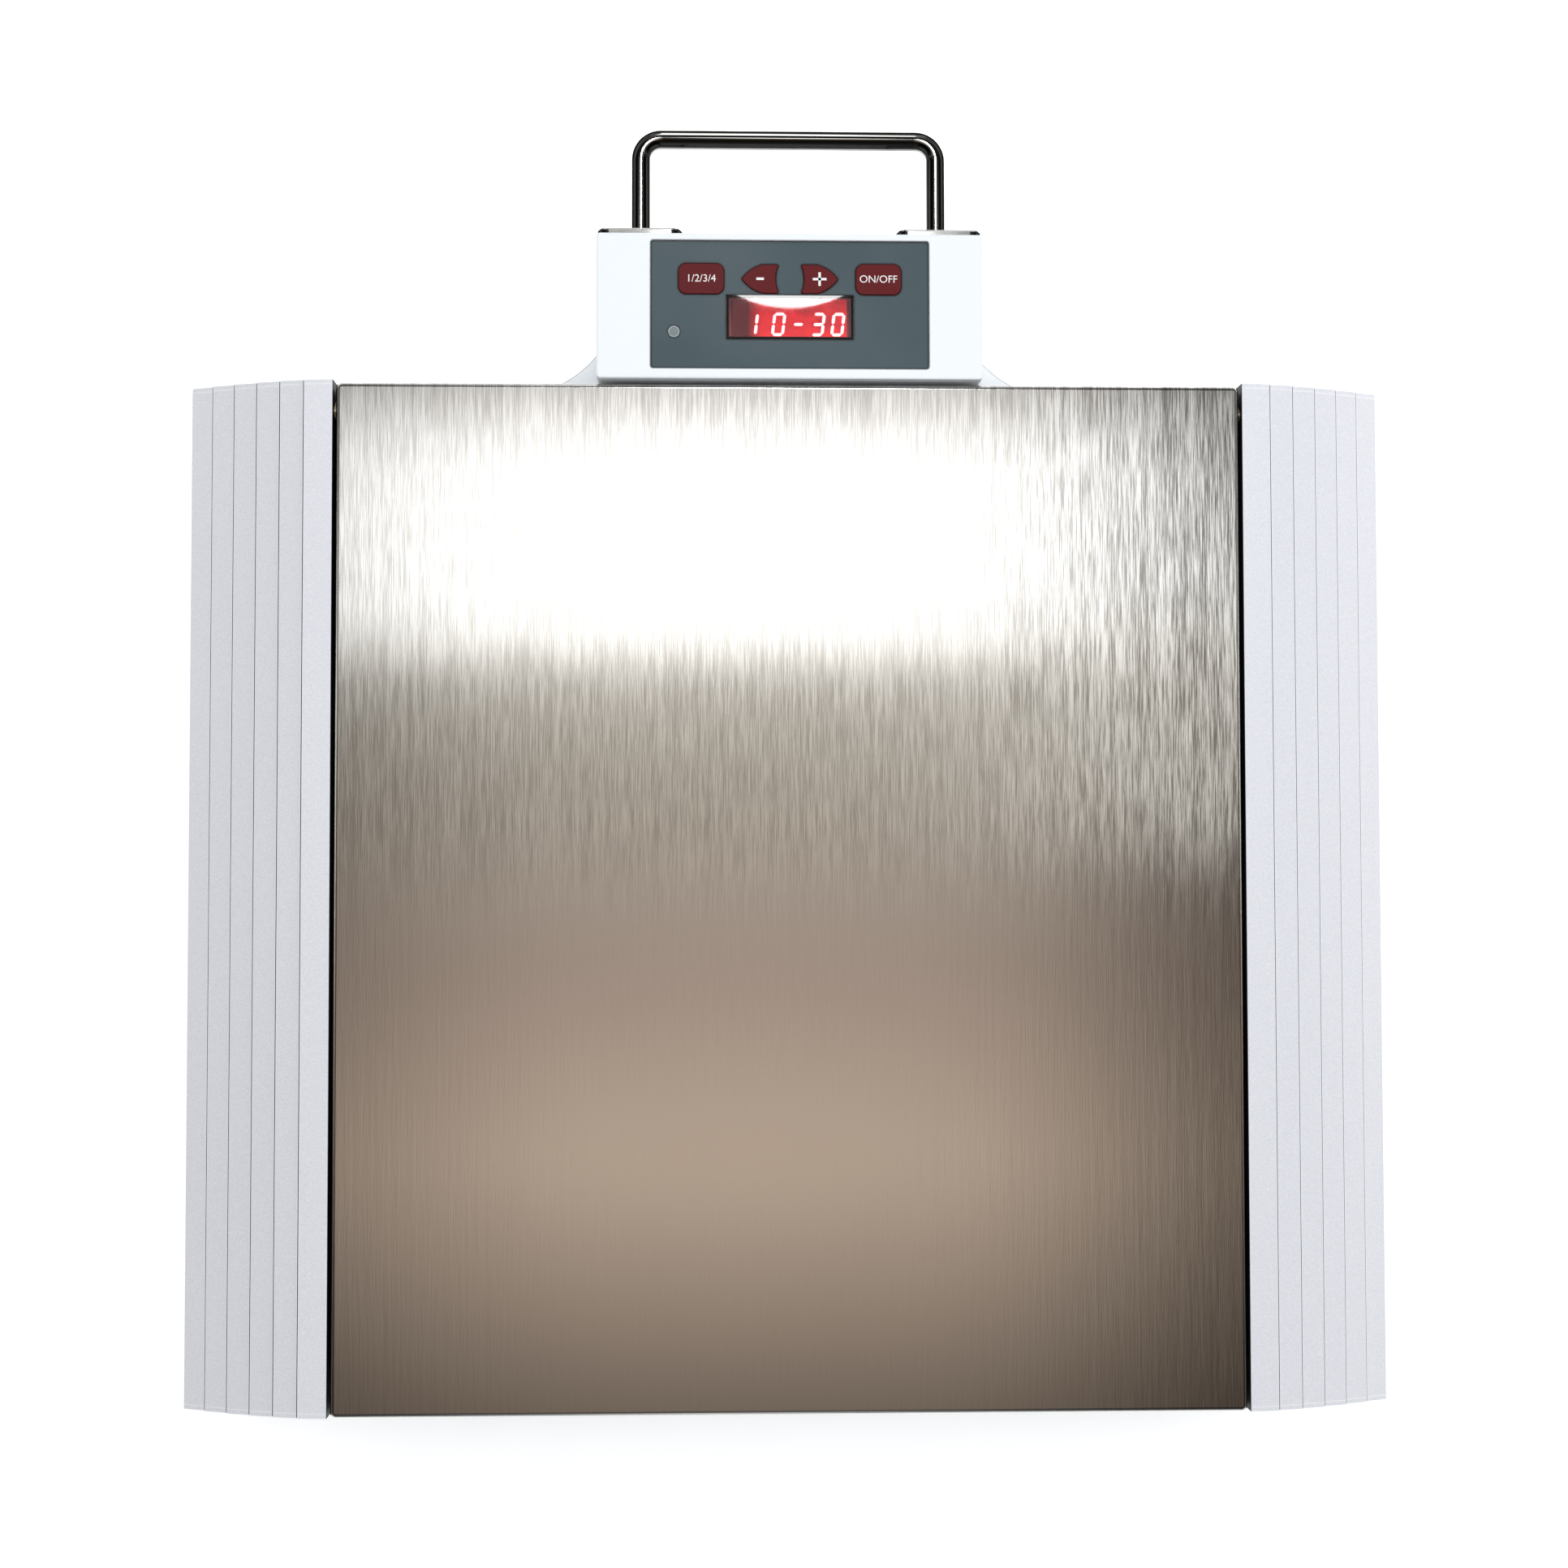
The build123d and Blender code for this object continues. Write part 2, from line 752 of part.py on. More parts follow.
def ceramic_caps(z):
    with BuildPart() as caps:
        for plane in heater_planes(x_bracket, z):
            with BuildSketch(plane):
                Circle(ceramic_radius)
            extrude(amount=ceramic_length)
            with BuildSketch(plane):
                Circle(tube_radius + screw_clearance)
            extrude(amount=ceramic_depth, mode=Mode.SUBTRACT)
        mirror(about=Plane.YZ)
    return caps.part


def heater_brackets(z_tube, z_seat):
    """A folded strip on each side that holds the tubes' ends, its foot lying on z_seat."""
    outward = 1 if z_tube > z_seat else -1
    z_edge = z_tube + outward * ceramic_radius
    with BuildPart() as brackets:
        with BuildSketch(across(y_tub + tub_length / 2 - tub_corner)):
            with BuildLine():
                Polyline(
                    (x_bracket - bracket_sheet, z_edge),
                    (x_bracket - bracket_sheet, z_seat),
                    (x_bracket + ceramic_length, z_seat),
                    (x_bracket + ceramic_length, z_seat + outward * bracket_sheet),
                    (x_bracket, z_seat + outward * bracket_sheet),
                    (x_bracket, z_edge),
                    close=True,
                )
            make_face()
        extrude(amount=tub_length - 2 * tub_corner)
        round_holes(heater_planes(x_bracket, z_tube), bracket_sheet, tube_radius + screw_clearance)
        mirror(about=Plane.YZ)
    return brackets.part


lower_heaters = quartz_tubes(z_lower_tube)
lower_heater_caps = ceramic_caps(z_lower_tube)
lower_heater_brackets = heater_brackets(z_lower_tube, z_tub_floor)
upper_heaters = quartz_tubes(z_upper_tube)
upper_heater_caps = ceramic_caps(z_upper_tube)
upper_heater_brackets = heater_brackets(z_upper_tube, z_recess)

# ---------------------------------------------------------------- board rack

rack_half_width = tub_width / 2 - rack_wall_gap
z_rack_frame = z_ledge + rack_frame_radius
z_rack_wires = z_rack_frame + rack_frame_radius + rack_wire_radius / 4
rack_spaces = int((tub_length - 2 * rack_end_gap) / rack_wire_spacing)
rack_length = rack_wire_spacing * rack_spaces

with BuildPart() as rack_supports:
    with BuildSketch(across(y_tub_rear - rack_ledge_inset)):
        with BuildLine():
            Polyline(
                (tub_width / 2, z_ledge),
                (tub_width / 2 - rack_ledge, z_ledge),
                (tub_width / 2 - rack_ledge, z_ledge - tub_sheet),
                (tub_width / 2 - tub_sheet, z_ledge - tub_sheet),
                (tub_width / 2 - tub_sheet, z_ledge - rack_ledge_leg),
                (tub_width / 2, z_ledge - rack_ledge_leg),
                close=True,
            )
        make_face()
    extrude(amount=tub_length - 2 * rack_ledge_inset)
    mirror(about=Plane.YZ)

with BuildPart() as board_rack:
    for x in (-rack_half_width + rack_frame_radius, 0, rack_half_width - rack_frame_radius):
        with BuildSketch(Plane((x, y_tub, z_rack_frame), x_dir=(1, 0, 0), z_dir=(0, 1, 0))):
            Circle(rack_frame_radius)
        extrude(amount=rack_length / 2 + rack_wire_radius, both=True)
    for row in range(rack_spaces + 1):
        with BuildSketch(Plane((0, y_tub - rack_length / 2 + rack_wire_spacing * row, z_rack_wires),
                               x_dir=(0, 1, 0), z_dir=(1, 0, 0))):
            Circle(rack_wire_radius)
        extrude(amount=rack_half_width, both=True)

# ---------------------------------------------------------------- lid

rim_screw_x = lid_width / 2 - lid_sheet - lid_return / 2
y_lip = y_front + lid_sheet + lid_return / 2
y_rim_screw = y_lid + rim_screw_shift - rim_screw_pitch * (rim_screw_count - 1) / 2
rim_screw_rows = [y_rim_screw + rim_screw_pitch * i for i in range(rim_screw_count)]
rim_screw_planes = [downward(x, y, z_lid_bottom) for x in (-rim_screw_x, rim_screw_x) for y in rim_screw_rows]
rim_screw_planes += [downward(lip_screw_pitch * i, y_lip, z_lid_bottom) for i in (-1, 0, 1)]
bush_radius = hinge_pin_radius + hinge_running + bush_wall


def lid_layer(inset, z, height, mode=Mode.ADD):
    """A layer of the lid's plan shape, drawn in by inset, from z upwards."""
    with BuildSketch(Plane((0, y_lid, z))) as plan:
        corner = max(lid_corner - inset, lid_inner_corner)
        RectangleRounded(lid_width - 2 * inset, lid_length - 2 * inset, corner)
    extrude(plan.sketch, amount=height, mode=mode)


with BuildPart() as lid_skin:
    lid_layer(0, z_skirt_bottom, top_height - z_skirt_bottom)
    fillet(lid_skin.edges().group_by(Axis.Z)[-1], radius=lid_bend)
    z_return = z_skirt_bottom + lid_sheet
    lid_layer(lid_sheet, z_return, top_height - lid_sheet - z_return, Mode.SUBTRACT)
    lid_layer(lid_sheet + lid_return, z_skirt_bottom, lid_sheet, Mode.SUBTRACT)
    round_holes(rim_screw_planes, pan_sheet + lid_sheet, screw_radius + screw_clearance)
    round_holes([hinge_pin_right, hinge_pin_right.offset(-2 * x_profile)],
                lid_gap + 2 * lid_sheet, bush_radius)

with BuildPart() as lid_inner_pan:
    lid_layer(rim_inset, z_lid_bottom, pan_sheet)
    rounded_block(tub_width + 2 * pan_sheet, tub_length + 2 * pan_sheet,
                  recess_height, z_lid_bottom + pan_sheet, tub_corner + pan_sheet)
    rounded_block(tub_width, tub_length, recess_height, z_lid_bottom, mode=Mode.SUBTRACT)
    round_holes(rim_screw_planes, pan_sheet, screw_radius + screw_clearance)

with BuildPart() as lid_insulation:
    rounded_block(tub_width + 2 * lid_slab_margin, tub_length + 2 * lid_slab_margin,
                  top_height - lid_sheet - z_recess - pan_sheet, z_recess + pan_sheet)

with BuildPart() as lid_screws:
    pan_screws(rim_screw_planes, pan_sheet + lid_sheet)

with BuildPart() as hinge_bushes:
    with BuildSketch(hinge_pin_right.offset(-lid_gap - lid_sheet - bush_length)):
        Circle(bush_radius + bush_flange)
    extrude(amount=bush_length)
    with BuildSketch(hinge_pin_right.offset(-lid_gap - lid_sheet)):
        Circle(bush_radius)
    extrude(amount=lid_sheet + lid_gap / 2)
    with BuildSketch(hinge_pin_right.offset(-lid_gap - lid_sheet - bush_length)):
        Circle(hinge_pin_radius + hinge_running)
    extrude(amount=2 * x_profile, mode=Mode.SUBTRACT)
    mirror(about=Plane.YZ)

with BuildPart() as hinge_pins:
    with BuildSketch(hinge_pin_right.offset(-lid_gap - lid_sheet - bush_length)):
        Circle(hinge_pin_radius)
    extrude(amount=bush_length + lid_sheet + lid_gap + profile_wall)
    with BuildSketch(hinge_pin_right.offset(profile_wall)):
        Circle(pin_head_radius)
    extrude(amount=pin_head)
    mirror(about=Plane.YZ)

bumper_x = (tub_width / 2 + tub_sheet + tub_flange + x_profile) / 2
bumper_planes = [
    upward(x, y, z_rim)
    for x in (-bumper_x, bumper_x)
    for y in (y_lid - bumper_front, y_lid + bumper_rear)
]

with BuildPart() as lid_bumpers:
    for plane in bumper_planes:
        with BuildSketch(plane):
            Circle(bumper_radius)
        extrude(amount=z_gasket_top - z_rim, taper=bumper_taper)

# ---------------------------------------------------------------- console bracket

y_tongue = y_console_rear - console_wall
console_screw_planes = [
    downward(x, y_console + dy, z_rim)
    for x in (-console_screw_x, console_screw_x)
    for dy in (-console_screw_y, console_screw_y)
]

with BuildPart() as console_bracket:
    with BuildSketch(Plane.XY.offset(z_rim)):
        with BuildLine():
            Line((-root_half_width, y_body_rear), (root_half_width, y_body_rear))
            ThreePointArc(
                (root_half_width, y_body_rear),
                (root_half_width - root_radius / sqrt(2), y_body_rear + root_radius * (1 - 1 / sqrt(2))),
                (tongue_half_width, y_body_rear + root_radius),
            )
            Polyline((tongue_half_width, y_body_rear + root_radius), (tongue_half_width, y_tongue),
                     (-tongue_half_width, y_tongue), (-tongue_half_width, y_body_rear + root_radius))
            ThreePointArc(
                (-tongue_half_width, y_body_rear + root_radius),
                (-root_half_width + root_radius / sqrt(2), y_body_rear + root_radius * (1 - 1 / sqrt(2))),
                (-root_half_width, y_body_rear),
            )
        make_face()
    extrude(amount=bracket_plate)
    with BuildSketch(across(y_body_rear + bracket_plate)):
        with Locations((0, z_rim - bracket_drop / 2)):
            Rectangle(2 * root_half_width - 2 * bracket_plate, bracket_drop)
    extrude(amount=bracket_plate)
    with BuildSketch(Plane.YZ):
        with BuildLine():
            Polyline(
                (y_body_rear + bracket_plate, z_rim),
                (y_body_rear + bracket_plate + gusset_reach, z_rim),
                (y_body_rear + bracket_plate, z_rim - bracket_drop),
                close=True,
            )
        make_face()
    gusset = extrude(amount=gusset_thickness / 2, both=True, mode=Mode.PRIVATE)
    with Locations((-gusset_spacing / 2, 0, 0), (gusset_spacing / 2, 0, 0)):
        add(gusset)
    round_holes(bracket_screw_planes, 2 * bracket_plate, screw_radius + screw_clearance)
    round_holes([cable_plane], 2 * bracket_plate, cable_radius + grommet_flange)
    round_holes([upward(0, y_console, z_rim)], 2 * bracket_plate, cable_radius + grommet_flange)
    round_holes(console_screw_planes, 2 * bracket_plate, screw_radius + screw_clearance)

with BuildPart() as panel_screws:
    pan_screws(panel_screw_planes, base_sheet + panel_sheet)
    pan_screws(bracket_screw_planes, bracket_plate + panel_sheet + 2 * tub_sheet)
    pan_screws(fan_screw_planes, panel_sheet + fan_depth)

# ---------------------------------------------------------------- console housing and keypad


def round_key(x):
    """Draw a rounded rectangular key, x from the console's middle."""
    with Locations((x, key_row)):
        RectangleRounded(key_width, key_depth, key_corner)


def arrow_key(side):
    """Draw an arrow key that points away from the middle, hollow on its inner side."""
    half = arrow_depth / 2
    top, middle, bottom = key_row + half, key_row, key_row - half
    bow_x = side * ((arrow_shoulder + arrow_tip) / 2 + arrow_bulge / 2)
    with BuildLine() as outline:
        ThreePointArc((side * arrow_inner, top), (side * (arrow_inner + arrow_hollow), middle),
                      (side * arrow_inner, bottom))
        Line((side * arrow_inner, bottom), (side * arrow_shoulder, bottom))
        ThreePointArc((side * arrow_shoulder, bottom), (bow_x, middle - half / 2 - arrow_bulge),
                      (side * arrow_tip, middle))
        ThreePointArc((side * arrow_tip, middle), (bow_x, middle + half / 2 + arrow_bulge),
                      (side * arrow_shoulder, top))
        Line((side * arrow_shoulder, top), (side * arrow_inner, top))
    make_face(outline.edges())
    offset(amount=-arrow_corner)
    offset(amount=arrow_corner)


def key_shape(name):
    if name == "menu":
        round_key(-key_spacing / 2)
    elif name == "start":
        round_key(key_spacing / 2)
    elif name == "minus":
        arrow_key(-1)
    else:
        arrow_key(1)


key_names = ("menu", "minus", "plus", "start")
key_middles = {
    "menu": -key_spacing / 2,
    "minus": -(arrow_tip + arrow_inner) / 2,
    "plus": (arrow_tip + arrow_inner) / 2,
    "start": key_spacing / 2,
}


def cut_keypad(z, depth):
    """Cut the key, window and lamp openings from z downwards."""
    for name in key_names:
        with BuildSketch(Plane((0, y_overlay, z))) as opening:
            key_shape(name)
            offset(amount=key_clearance)
        extrude(opening.sketch, amount=-depth, mode=Mode.SUBTRACT)
    round_holes([upward(lamp_x, y_overlay + lamp_row, z)], depth, lamp_radius + window_clearance)


def cut_window(z, depth, margin):
    with BuildSketch(Plane((0, y_overlay + window_row, z))) as opening:
        Rectangle(window_width + 2 * margin, window_depth + 2 * margin)
    extrude(opening.sketch, amount=-depth, mode=Mode.SUBTRACT)


handle_leg_planes = [rearward(x, y_console_rear, z_handle) for x in (-x_handle, x_handle)]
board_screw_spots = [(x, y_console + y) for x in (-standoff_x, standoff_x) for y in (-standoff_y, standoff_y)]

with BuildPart() as console_housing:
    with BuildSketch(Plane((0, y_console, z_bracket))):
        RectangleRounded(console_width, console_depth, console_corner)
    extrude(amount=z_console_top - z_bracket)
    fillet(console_housing.edges().group_by(Axis.Z)[-1], radius=console_corner / 2)
    with BuildSketch(Plane((0, y_console, z_bracket))):
        Rectangle(console_width - 2 * console_wall, console_depth - 2 * console_wall)
    extrude(amount=z_key_wall - z_bracket, mode=Mode.SUBTRACT)
    with BuildSketch(Plane((0, y_overlay, z_console_top))):
        RectangleRounded(overlay_width, overlay_depth, overlay_corner)
    extrude(amount=z_pocket - z_console_top, mode=Mode.SUBTRACT)
    cut_keypad(z_console_top, 2 * console_top_wall)
    cut_window(z_console_top, 2 * console_top_wall, -window_ledge)
    round_holes(handle_leg_planes, 2 * console_wall, handle_screw_radius + screw_clearance)

with BuildPart() as keypad_overlay:
    with BuildSketch(Plane((0, y_overlay, z_pocket))):
        RectangleRounded(overlay_width - 2 * overlay_clearance, overlay_depth - 2 * overlay_clearance,
                         overlay_corner)
    extrude(amount=overlay_thickness)
    cut_keypad(z_overlay, 2 * overlay_thickness)
    cut_window(z_overlay, 2 * overlay_thickness, window_clearance)


def key_button(name):
    """A key with a cap through the panel, a flange under the wall and a stem above its switch."""
    with BuildPart() as button:
        with BuildSketch(Plane((0, y_overlay, z_key_wall))):
            key_shape(name)
        extrude(amount=z_overlay + key_rise - z_key_wall)
        fillet(button.edges().group_by(Axis.Z)[-1], radius=key_rise / 2)
        with BuildSketch(Plane((0, y_overlay, z_key_wall))):
            key_shape(name)
            offset(amount=key_flange_margin)
        extrude(amount=-key_flange)
        with BuildSketch(Plane((key_middles[name], y_overlay + key_row, z_key_wall - key_flange))):
            Circle(stem_radius)
        extrude(amount=-stem_length)
    return button.part


with BuildPart() as display_window:
    with BuildSketch(Plane((0, y_overlay + window_row, z_pocket))):
        Rectangle(window_width, window_depth)
    extrude(amount=window_thickness)

with BuildPart() as display_module:
    with BuildSketch(Plane((0, y_overlay + window_row, z_board))):
        Rectangle(module_width, module_depth)
    extrude(amount=z_key_wall - module_gap - z_board)

with BuildPart() as status_lamp:
    with BuildSketch(Plane((lamp_x, y_overlay + lamp_row, z_key_wall))):
        Circle(lamp_radius)
    extrude(amount=z_overlay - z_key_wall)
    with BuildSketch(Plane((lamp_x, y_overlay + lamp_row, z_key_wall))):
        Circle(lamp_radius + lamp_flange)
    extrude(amount=-lamp_flange)
    with BuildSketch(Plane((lamp_x, y_overlay + lamp_row, z_board))):
        Circle(lamp_leg_radius)
    extrude(amount=z_key_wall - lamp_flange - z_board)

with BuildPart() as control_board:
    with BuildSketch(Plane((0, y_console, z_board))):
        Rectangle(board_width, board_depth)
    extrude(amount=-board_thickness)

with BuildPart() as tact_switches:
    for middle in key_middles.values():
        with BuildSketch(Plane((middle, y_overlay + key_row, z_board))):
            Rectangle(switch_body, switch_body)
        extrude(amount=switch_height)
        with BuildSketch(Plane((middle, y_overlay + key_row, z_board + switch_height))):
            Circle(plunger_radius)
        extrude(amount=plunger_height)

with BuildPart() as console_base_cover:
    with BuildSketch(Plane((0, y_console, z_bracket))):
        Rectangle(console_width - 2 * (console_wall + cover_clearance),
                  console_depth - 2 * (console_wall + cover_clearance))
    extrude(amount=cover_thickness)
    round_holes(console_screw_planes, 3 * bracket_plate, screw_radius + screw_clearance)
    round_holes([upward(0, y_console, z_bracket)], 2 * bracket_plate, cable_radius + grommet_flange)

z_power_board = z_floor + power_standoff + board_thickness
power_standoff_spots = [
    (x, y_bay_middle + dy)
    for x in (-power_standoff_x, power_standoff_x)
    for dy in (-power_standoff_y, power_standoff_y)
]

with BuildPart() as board_standoffs:
    for x, y in board_screw_spots:
        with BuildSketch(upward(x, y, z_bracket + cover_thickness)):
            Circle(standoff_radius)
        extrude(amount=z_board - board_thickness - z_bracket - cover_thickness)
    for x, y in power_standoff_spots:
        with BuildSketch(upward(x, y, z_floor)):
            Circle(standoff_radius)
        extrude(amount=power_standoff)

with BuildPart() as power_board:
    with BuildSketch(Plane((0, y_bay_middle, z_power_board - board_thickness))):
        Rectangle(power_board_width, power_board_depth)
    extrude(amount=board_thickness)



def board_block(x, width, depth, height):
    """Add a block on the power board, x from the oven's middle."""
    with BuildSketch(Plane((x, y_bay_middle, z_power_board))) as block:
        Rectangle(width, depth)
    extrude(block.sketch, amount=height)


with BuildPart() as power_components:
    board_block(transformer_x, transformer_width, transformer_depth, transformer_height)
    board_block(-relay_spacing / 2, relay_width, relay_depth, relay_depth)
    board_block(0, cable_plug, cable_plug, cable_plug_height)
    board_block(relay_spacing / 2, relay_width, relay_depth, relay_depth)
    board_block(terminal_x, terminal_width, terminal_depth, terminal_height)

with BuildPart() as console_screws:
    pan_screws(console_screw_planes, bracket_plate + cover_thickness)

# ---------------------------------------------------------------- carry handle

with BuildPart() as carry_handle:
    with BuildLine():
        FilletPolyline(
            (-x_handle, y_console_rear, z_handle),
            (-x_handle, y_handle, z_handle),
            (x_handle, y_handle, z_handle),
            (x_handle, y_console_rear, z_handle),
            radius=handle_bend,
        )
    with BuildSketch(Plane((-x_handle, y_console_rear, z_handle), x_dir=(1, 0, 0), z_dir=(0, 1, 0))):
        Circle(handle_radius)
    sweep()
    round_holes(handle_leg_planes, handle_screw_depth, handle_screw_radius)

with BuildPart() as handle_rosettes:
    with BuildSketch(across(y_console_rear)):
        with Locations((-x_handle, z_handle), (x_handle, z_handle)):
            RectangleRounded(rosette_side, rosette_side, rosette_corner)
    extrude(amount=-rosette_rise)
    chamfer(handle_rosettes.edges().group_by(Axis.Y)[-1], length=rosette_bevel)
    round_holes(handle_leg_planes, rosette_rise, handle_radius + rosette_clearance)

with BuildPart() as handle_screws:
    pan_screws(
        [forward(x, y_console_rear - console_wall, z_handle) for x in (-x_handle, x_handle)],
        console_wall + handle_screw_depth - 1,
        handle_screw_radius - handle_screw_fit,
        handle_screw_head,
    )

# ---------------------------------------------------------------- fan

y_fan = y_body_rear - panel_sheet
y_stator = y_fan - fan_depth

with BuildPart() as fan_frame:
    with BuildSketch(across(y_fan)):
        with Locations((x_fan, z_fan)):
            RectangleRounded(fan_size, fan_size, fan_corner)
            Circle(fan_bore / 2, mode=Mode.SUBTRACT)
    extrude(amount=fan_depth)
    with BuildSketch(across(y_stator + stator_depth)):
        with Locations((x_fan, z_fan)):
            Circle(fan_hub_radius)
        for angle in (45, 135):
            with Locations(Location((x_fan, z_fan, 0), (0, 0, angle))):
                Rectangle(fan_bore + 1, strut_width)
    extrude(amount=stator_depth)
    with BuildSketch(across(y_stator + stator_depth)):
        with Locations((x_fan, z_fan)):
            Circle(fan_shaft_radius + hinge_running)
    extrude(amount=stator_depth, mode=Mode.SUBTRACT)
    round_holes(fan_screw_planes, fan_depth + panel_sheet, screw_radius + screw_clearance)

rotor_front = y_stator + stator_depth + fan_hub_gap
rotor_depth = fan_depth - stator_depth - 3 * fan_hub_gap
tip_radius = fan_bore / 2 - fan_tip_gap

with BuildPart() as fan_blade:
    with BuildSketch(Plane((fan_hub_radius - blade_overlap, 0, 0), x_dir=(0, 1, 0), z_dir=(1, 0, 0))):
        Rectangle(blade_thickness, blade_root_chord, rotation=blade_root_turn)
    with BuildSketch(Plane((tip_radius, 0, 0), x_dir=(0, 1, 0), z_dir=(1, 0, 0))):
        Rectangle(blade_thickness, blade_tip_chord, rotation=blade_tip_turn)
    loft()

with BuildPart() as fan_rotor:
    with BuildSketch(rearward(x_fan, rotor_front, z_fan)):
        Circle(fan_hub_radius)
    extrude(amount=rotor_depth)
    fillet(fan_rotor.edges().group_by(Axis.Y)[-1], radius=fan_hub_round)
    with BuildSketch(rearward(x_fan, rotor_front, z_fan)):
        Circle(fan_shaft_radius)
    extrude(amount=-stator_depth - fan_hub_gap)
    with Locations(rearward(x_fan, rotor_front + rotor_depth / 2, z_fan).location):
        with PolarLocations(0, fan_blades):
            add(fan_blade.part)

# ---------------------------------------------------------------- mains inlet and switch

with BuildPart() as power_inlet:
    with BuildSketch(rearward(x_inlet, y_body_rear, z_inlet)):
        RectangleRounded(inlet_face_width, inlet_face_height, inlet_corner)
    extrude(amount=inlet_face)
    with BuildSketch(rearward(x_inlet, y_body_rear, z_inlet)):
        Rectangle(inlet_body_width, inlet_body_height)
    extrude(amount=-inlet_body_depth)
    with BuildSketch(rearward(x_inlet, y_body_rear + inlet_face, z_inlet)) as socket:
        Rectangle(socket_width, socket_height)
        chamfer(socket.vertices().group_by(Axis.Y)[-1], length=socket_chamfer)
    extrude(amount=-socket_depth, mode=Mode.SUBTRACT)

with BuildPart() as inlet_contacts:
    with BuildSketch(rearward(x_inlet, y_body_rear + inlet_face - socket_depth, z_inlet)):
        with Locations((0, blade_offset), *[(side * blade_spacing / 2, -blade_offset) for side in (-1, 1)]):
            Rectangle(contact_width, contact_height)
    extrude(amount=contact_length)

switch_body_width = power_switch_width - 2 * power_switch_rim
switch_body_height = power_switch_height - 2 * power_switch_rim
rocker_width = switch_body_width - 2 * rocker_side_wall

with BuildPart() as switch_frame:
    with BuildSketch(rearward(x_switch, y_body_rear, z_inlet)):
        RectangleRounded(power_switch_width, power_switch_height, power_switch_corner)
    extrude(amount=power_switch_face)
    with BuildSketch(rearward(x_switch, y_body_rear, z_inlet)):
        Rectangle(switch_body_width, switch_body_height)
    extrude(amount=-power_switch_body_depth)
    with BuildSketch(rearward(x_switch, y_body_rear + power_switch_face, z_inlet)):
        Rectangle(rocker_width + 2 * rocker_side_gap, switch_body_height - 2 * switch_end_wall)
    extrude(amount=power_switch_back - power_switch_face - power_switch_body_depth, mode=Mode.SUBTRACT)
    with BuildSketch(Plane((x_switch, y_body_rear, z_inlet), x_dir=(0, 1, 0), z_dir=(1, 0, 0))):
        Circle(rocker_pivot_radius)
    extrude(amount=switch_body_width / 2, both=True)

with BuildPart() as rocker_upright:
    with BuildSketch(Plane.YZ):
        with BuildLine():
            Polyline(
                (-rocker_tail, 0),
                (rocker_root, -rocker_half_length),
                (rocker_crest, -rocker_half_length),
                (rocker_dip, 0),
                (rocker_crest, rocker_half_length),
                (rocker_root, rocker_half_length),
                close=True,
            )
        make_face()
        Circle(rocker_pivot_radius + hinge_running, mode=Mode.SUBTRACT)
    extrude(amount=rocker_width / 2, both=True)

with BuildPart() as switch_rocker:
    tilted = rocker_upright.part.rotate(Axis.X, rocker_swing / 2)
    add(Location((x_switch, y_body_rear, z_inlet)) * tilted)

# ---------------------------------------------------------------- control cable

cable_path_top = z_board - board_thickness

with BuildPart() as control_cable:
    with BuildLine():
        FilletPolyline(
            (0, y_console, cable_path_top),
            (0, y_console, z_cable),
            (0, y_bay_middle, z_cable),
            (0, y_bay_middle, z_power_board + cable_plug_height),
            radius=cable_bend,
        )
    with BuildSketch(downward(0, y_console, cable_path_top)):
        Circle(cable_radius)
    sweep()

with BuildPart() as cable_grommets:
    for plane, depth in (
        (cable_plane, bracket_plate + panel_sheet),
        (downward(0, y_console, z_rim), bracket_plate + cover_thickness),
    ):
        with BuildSketch(plane):
            Circle(cable_radius + grommet_flange + grommet_lip)
        extrude(amount=grommet_lip)
        with BuildSketch(plane):
            Circle(cable_radius + grommet_flange)
        extrude(amount=-depth)
        round_holes([plane], 2 * bracket_plate + panel_sheet, cable_radius)

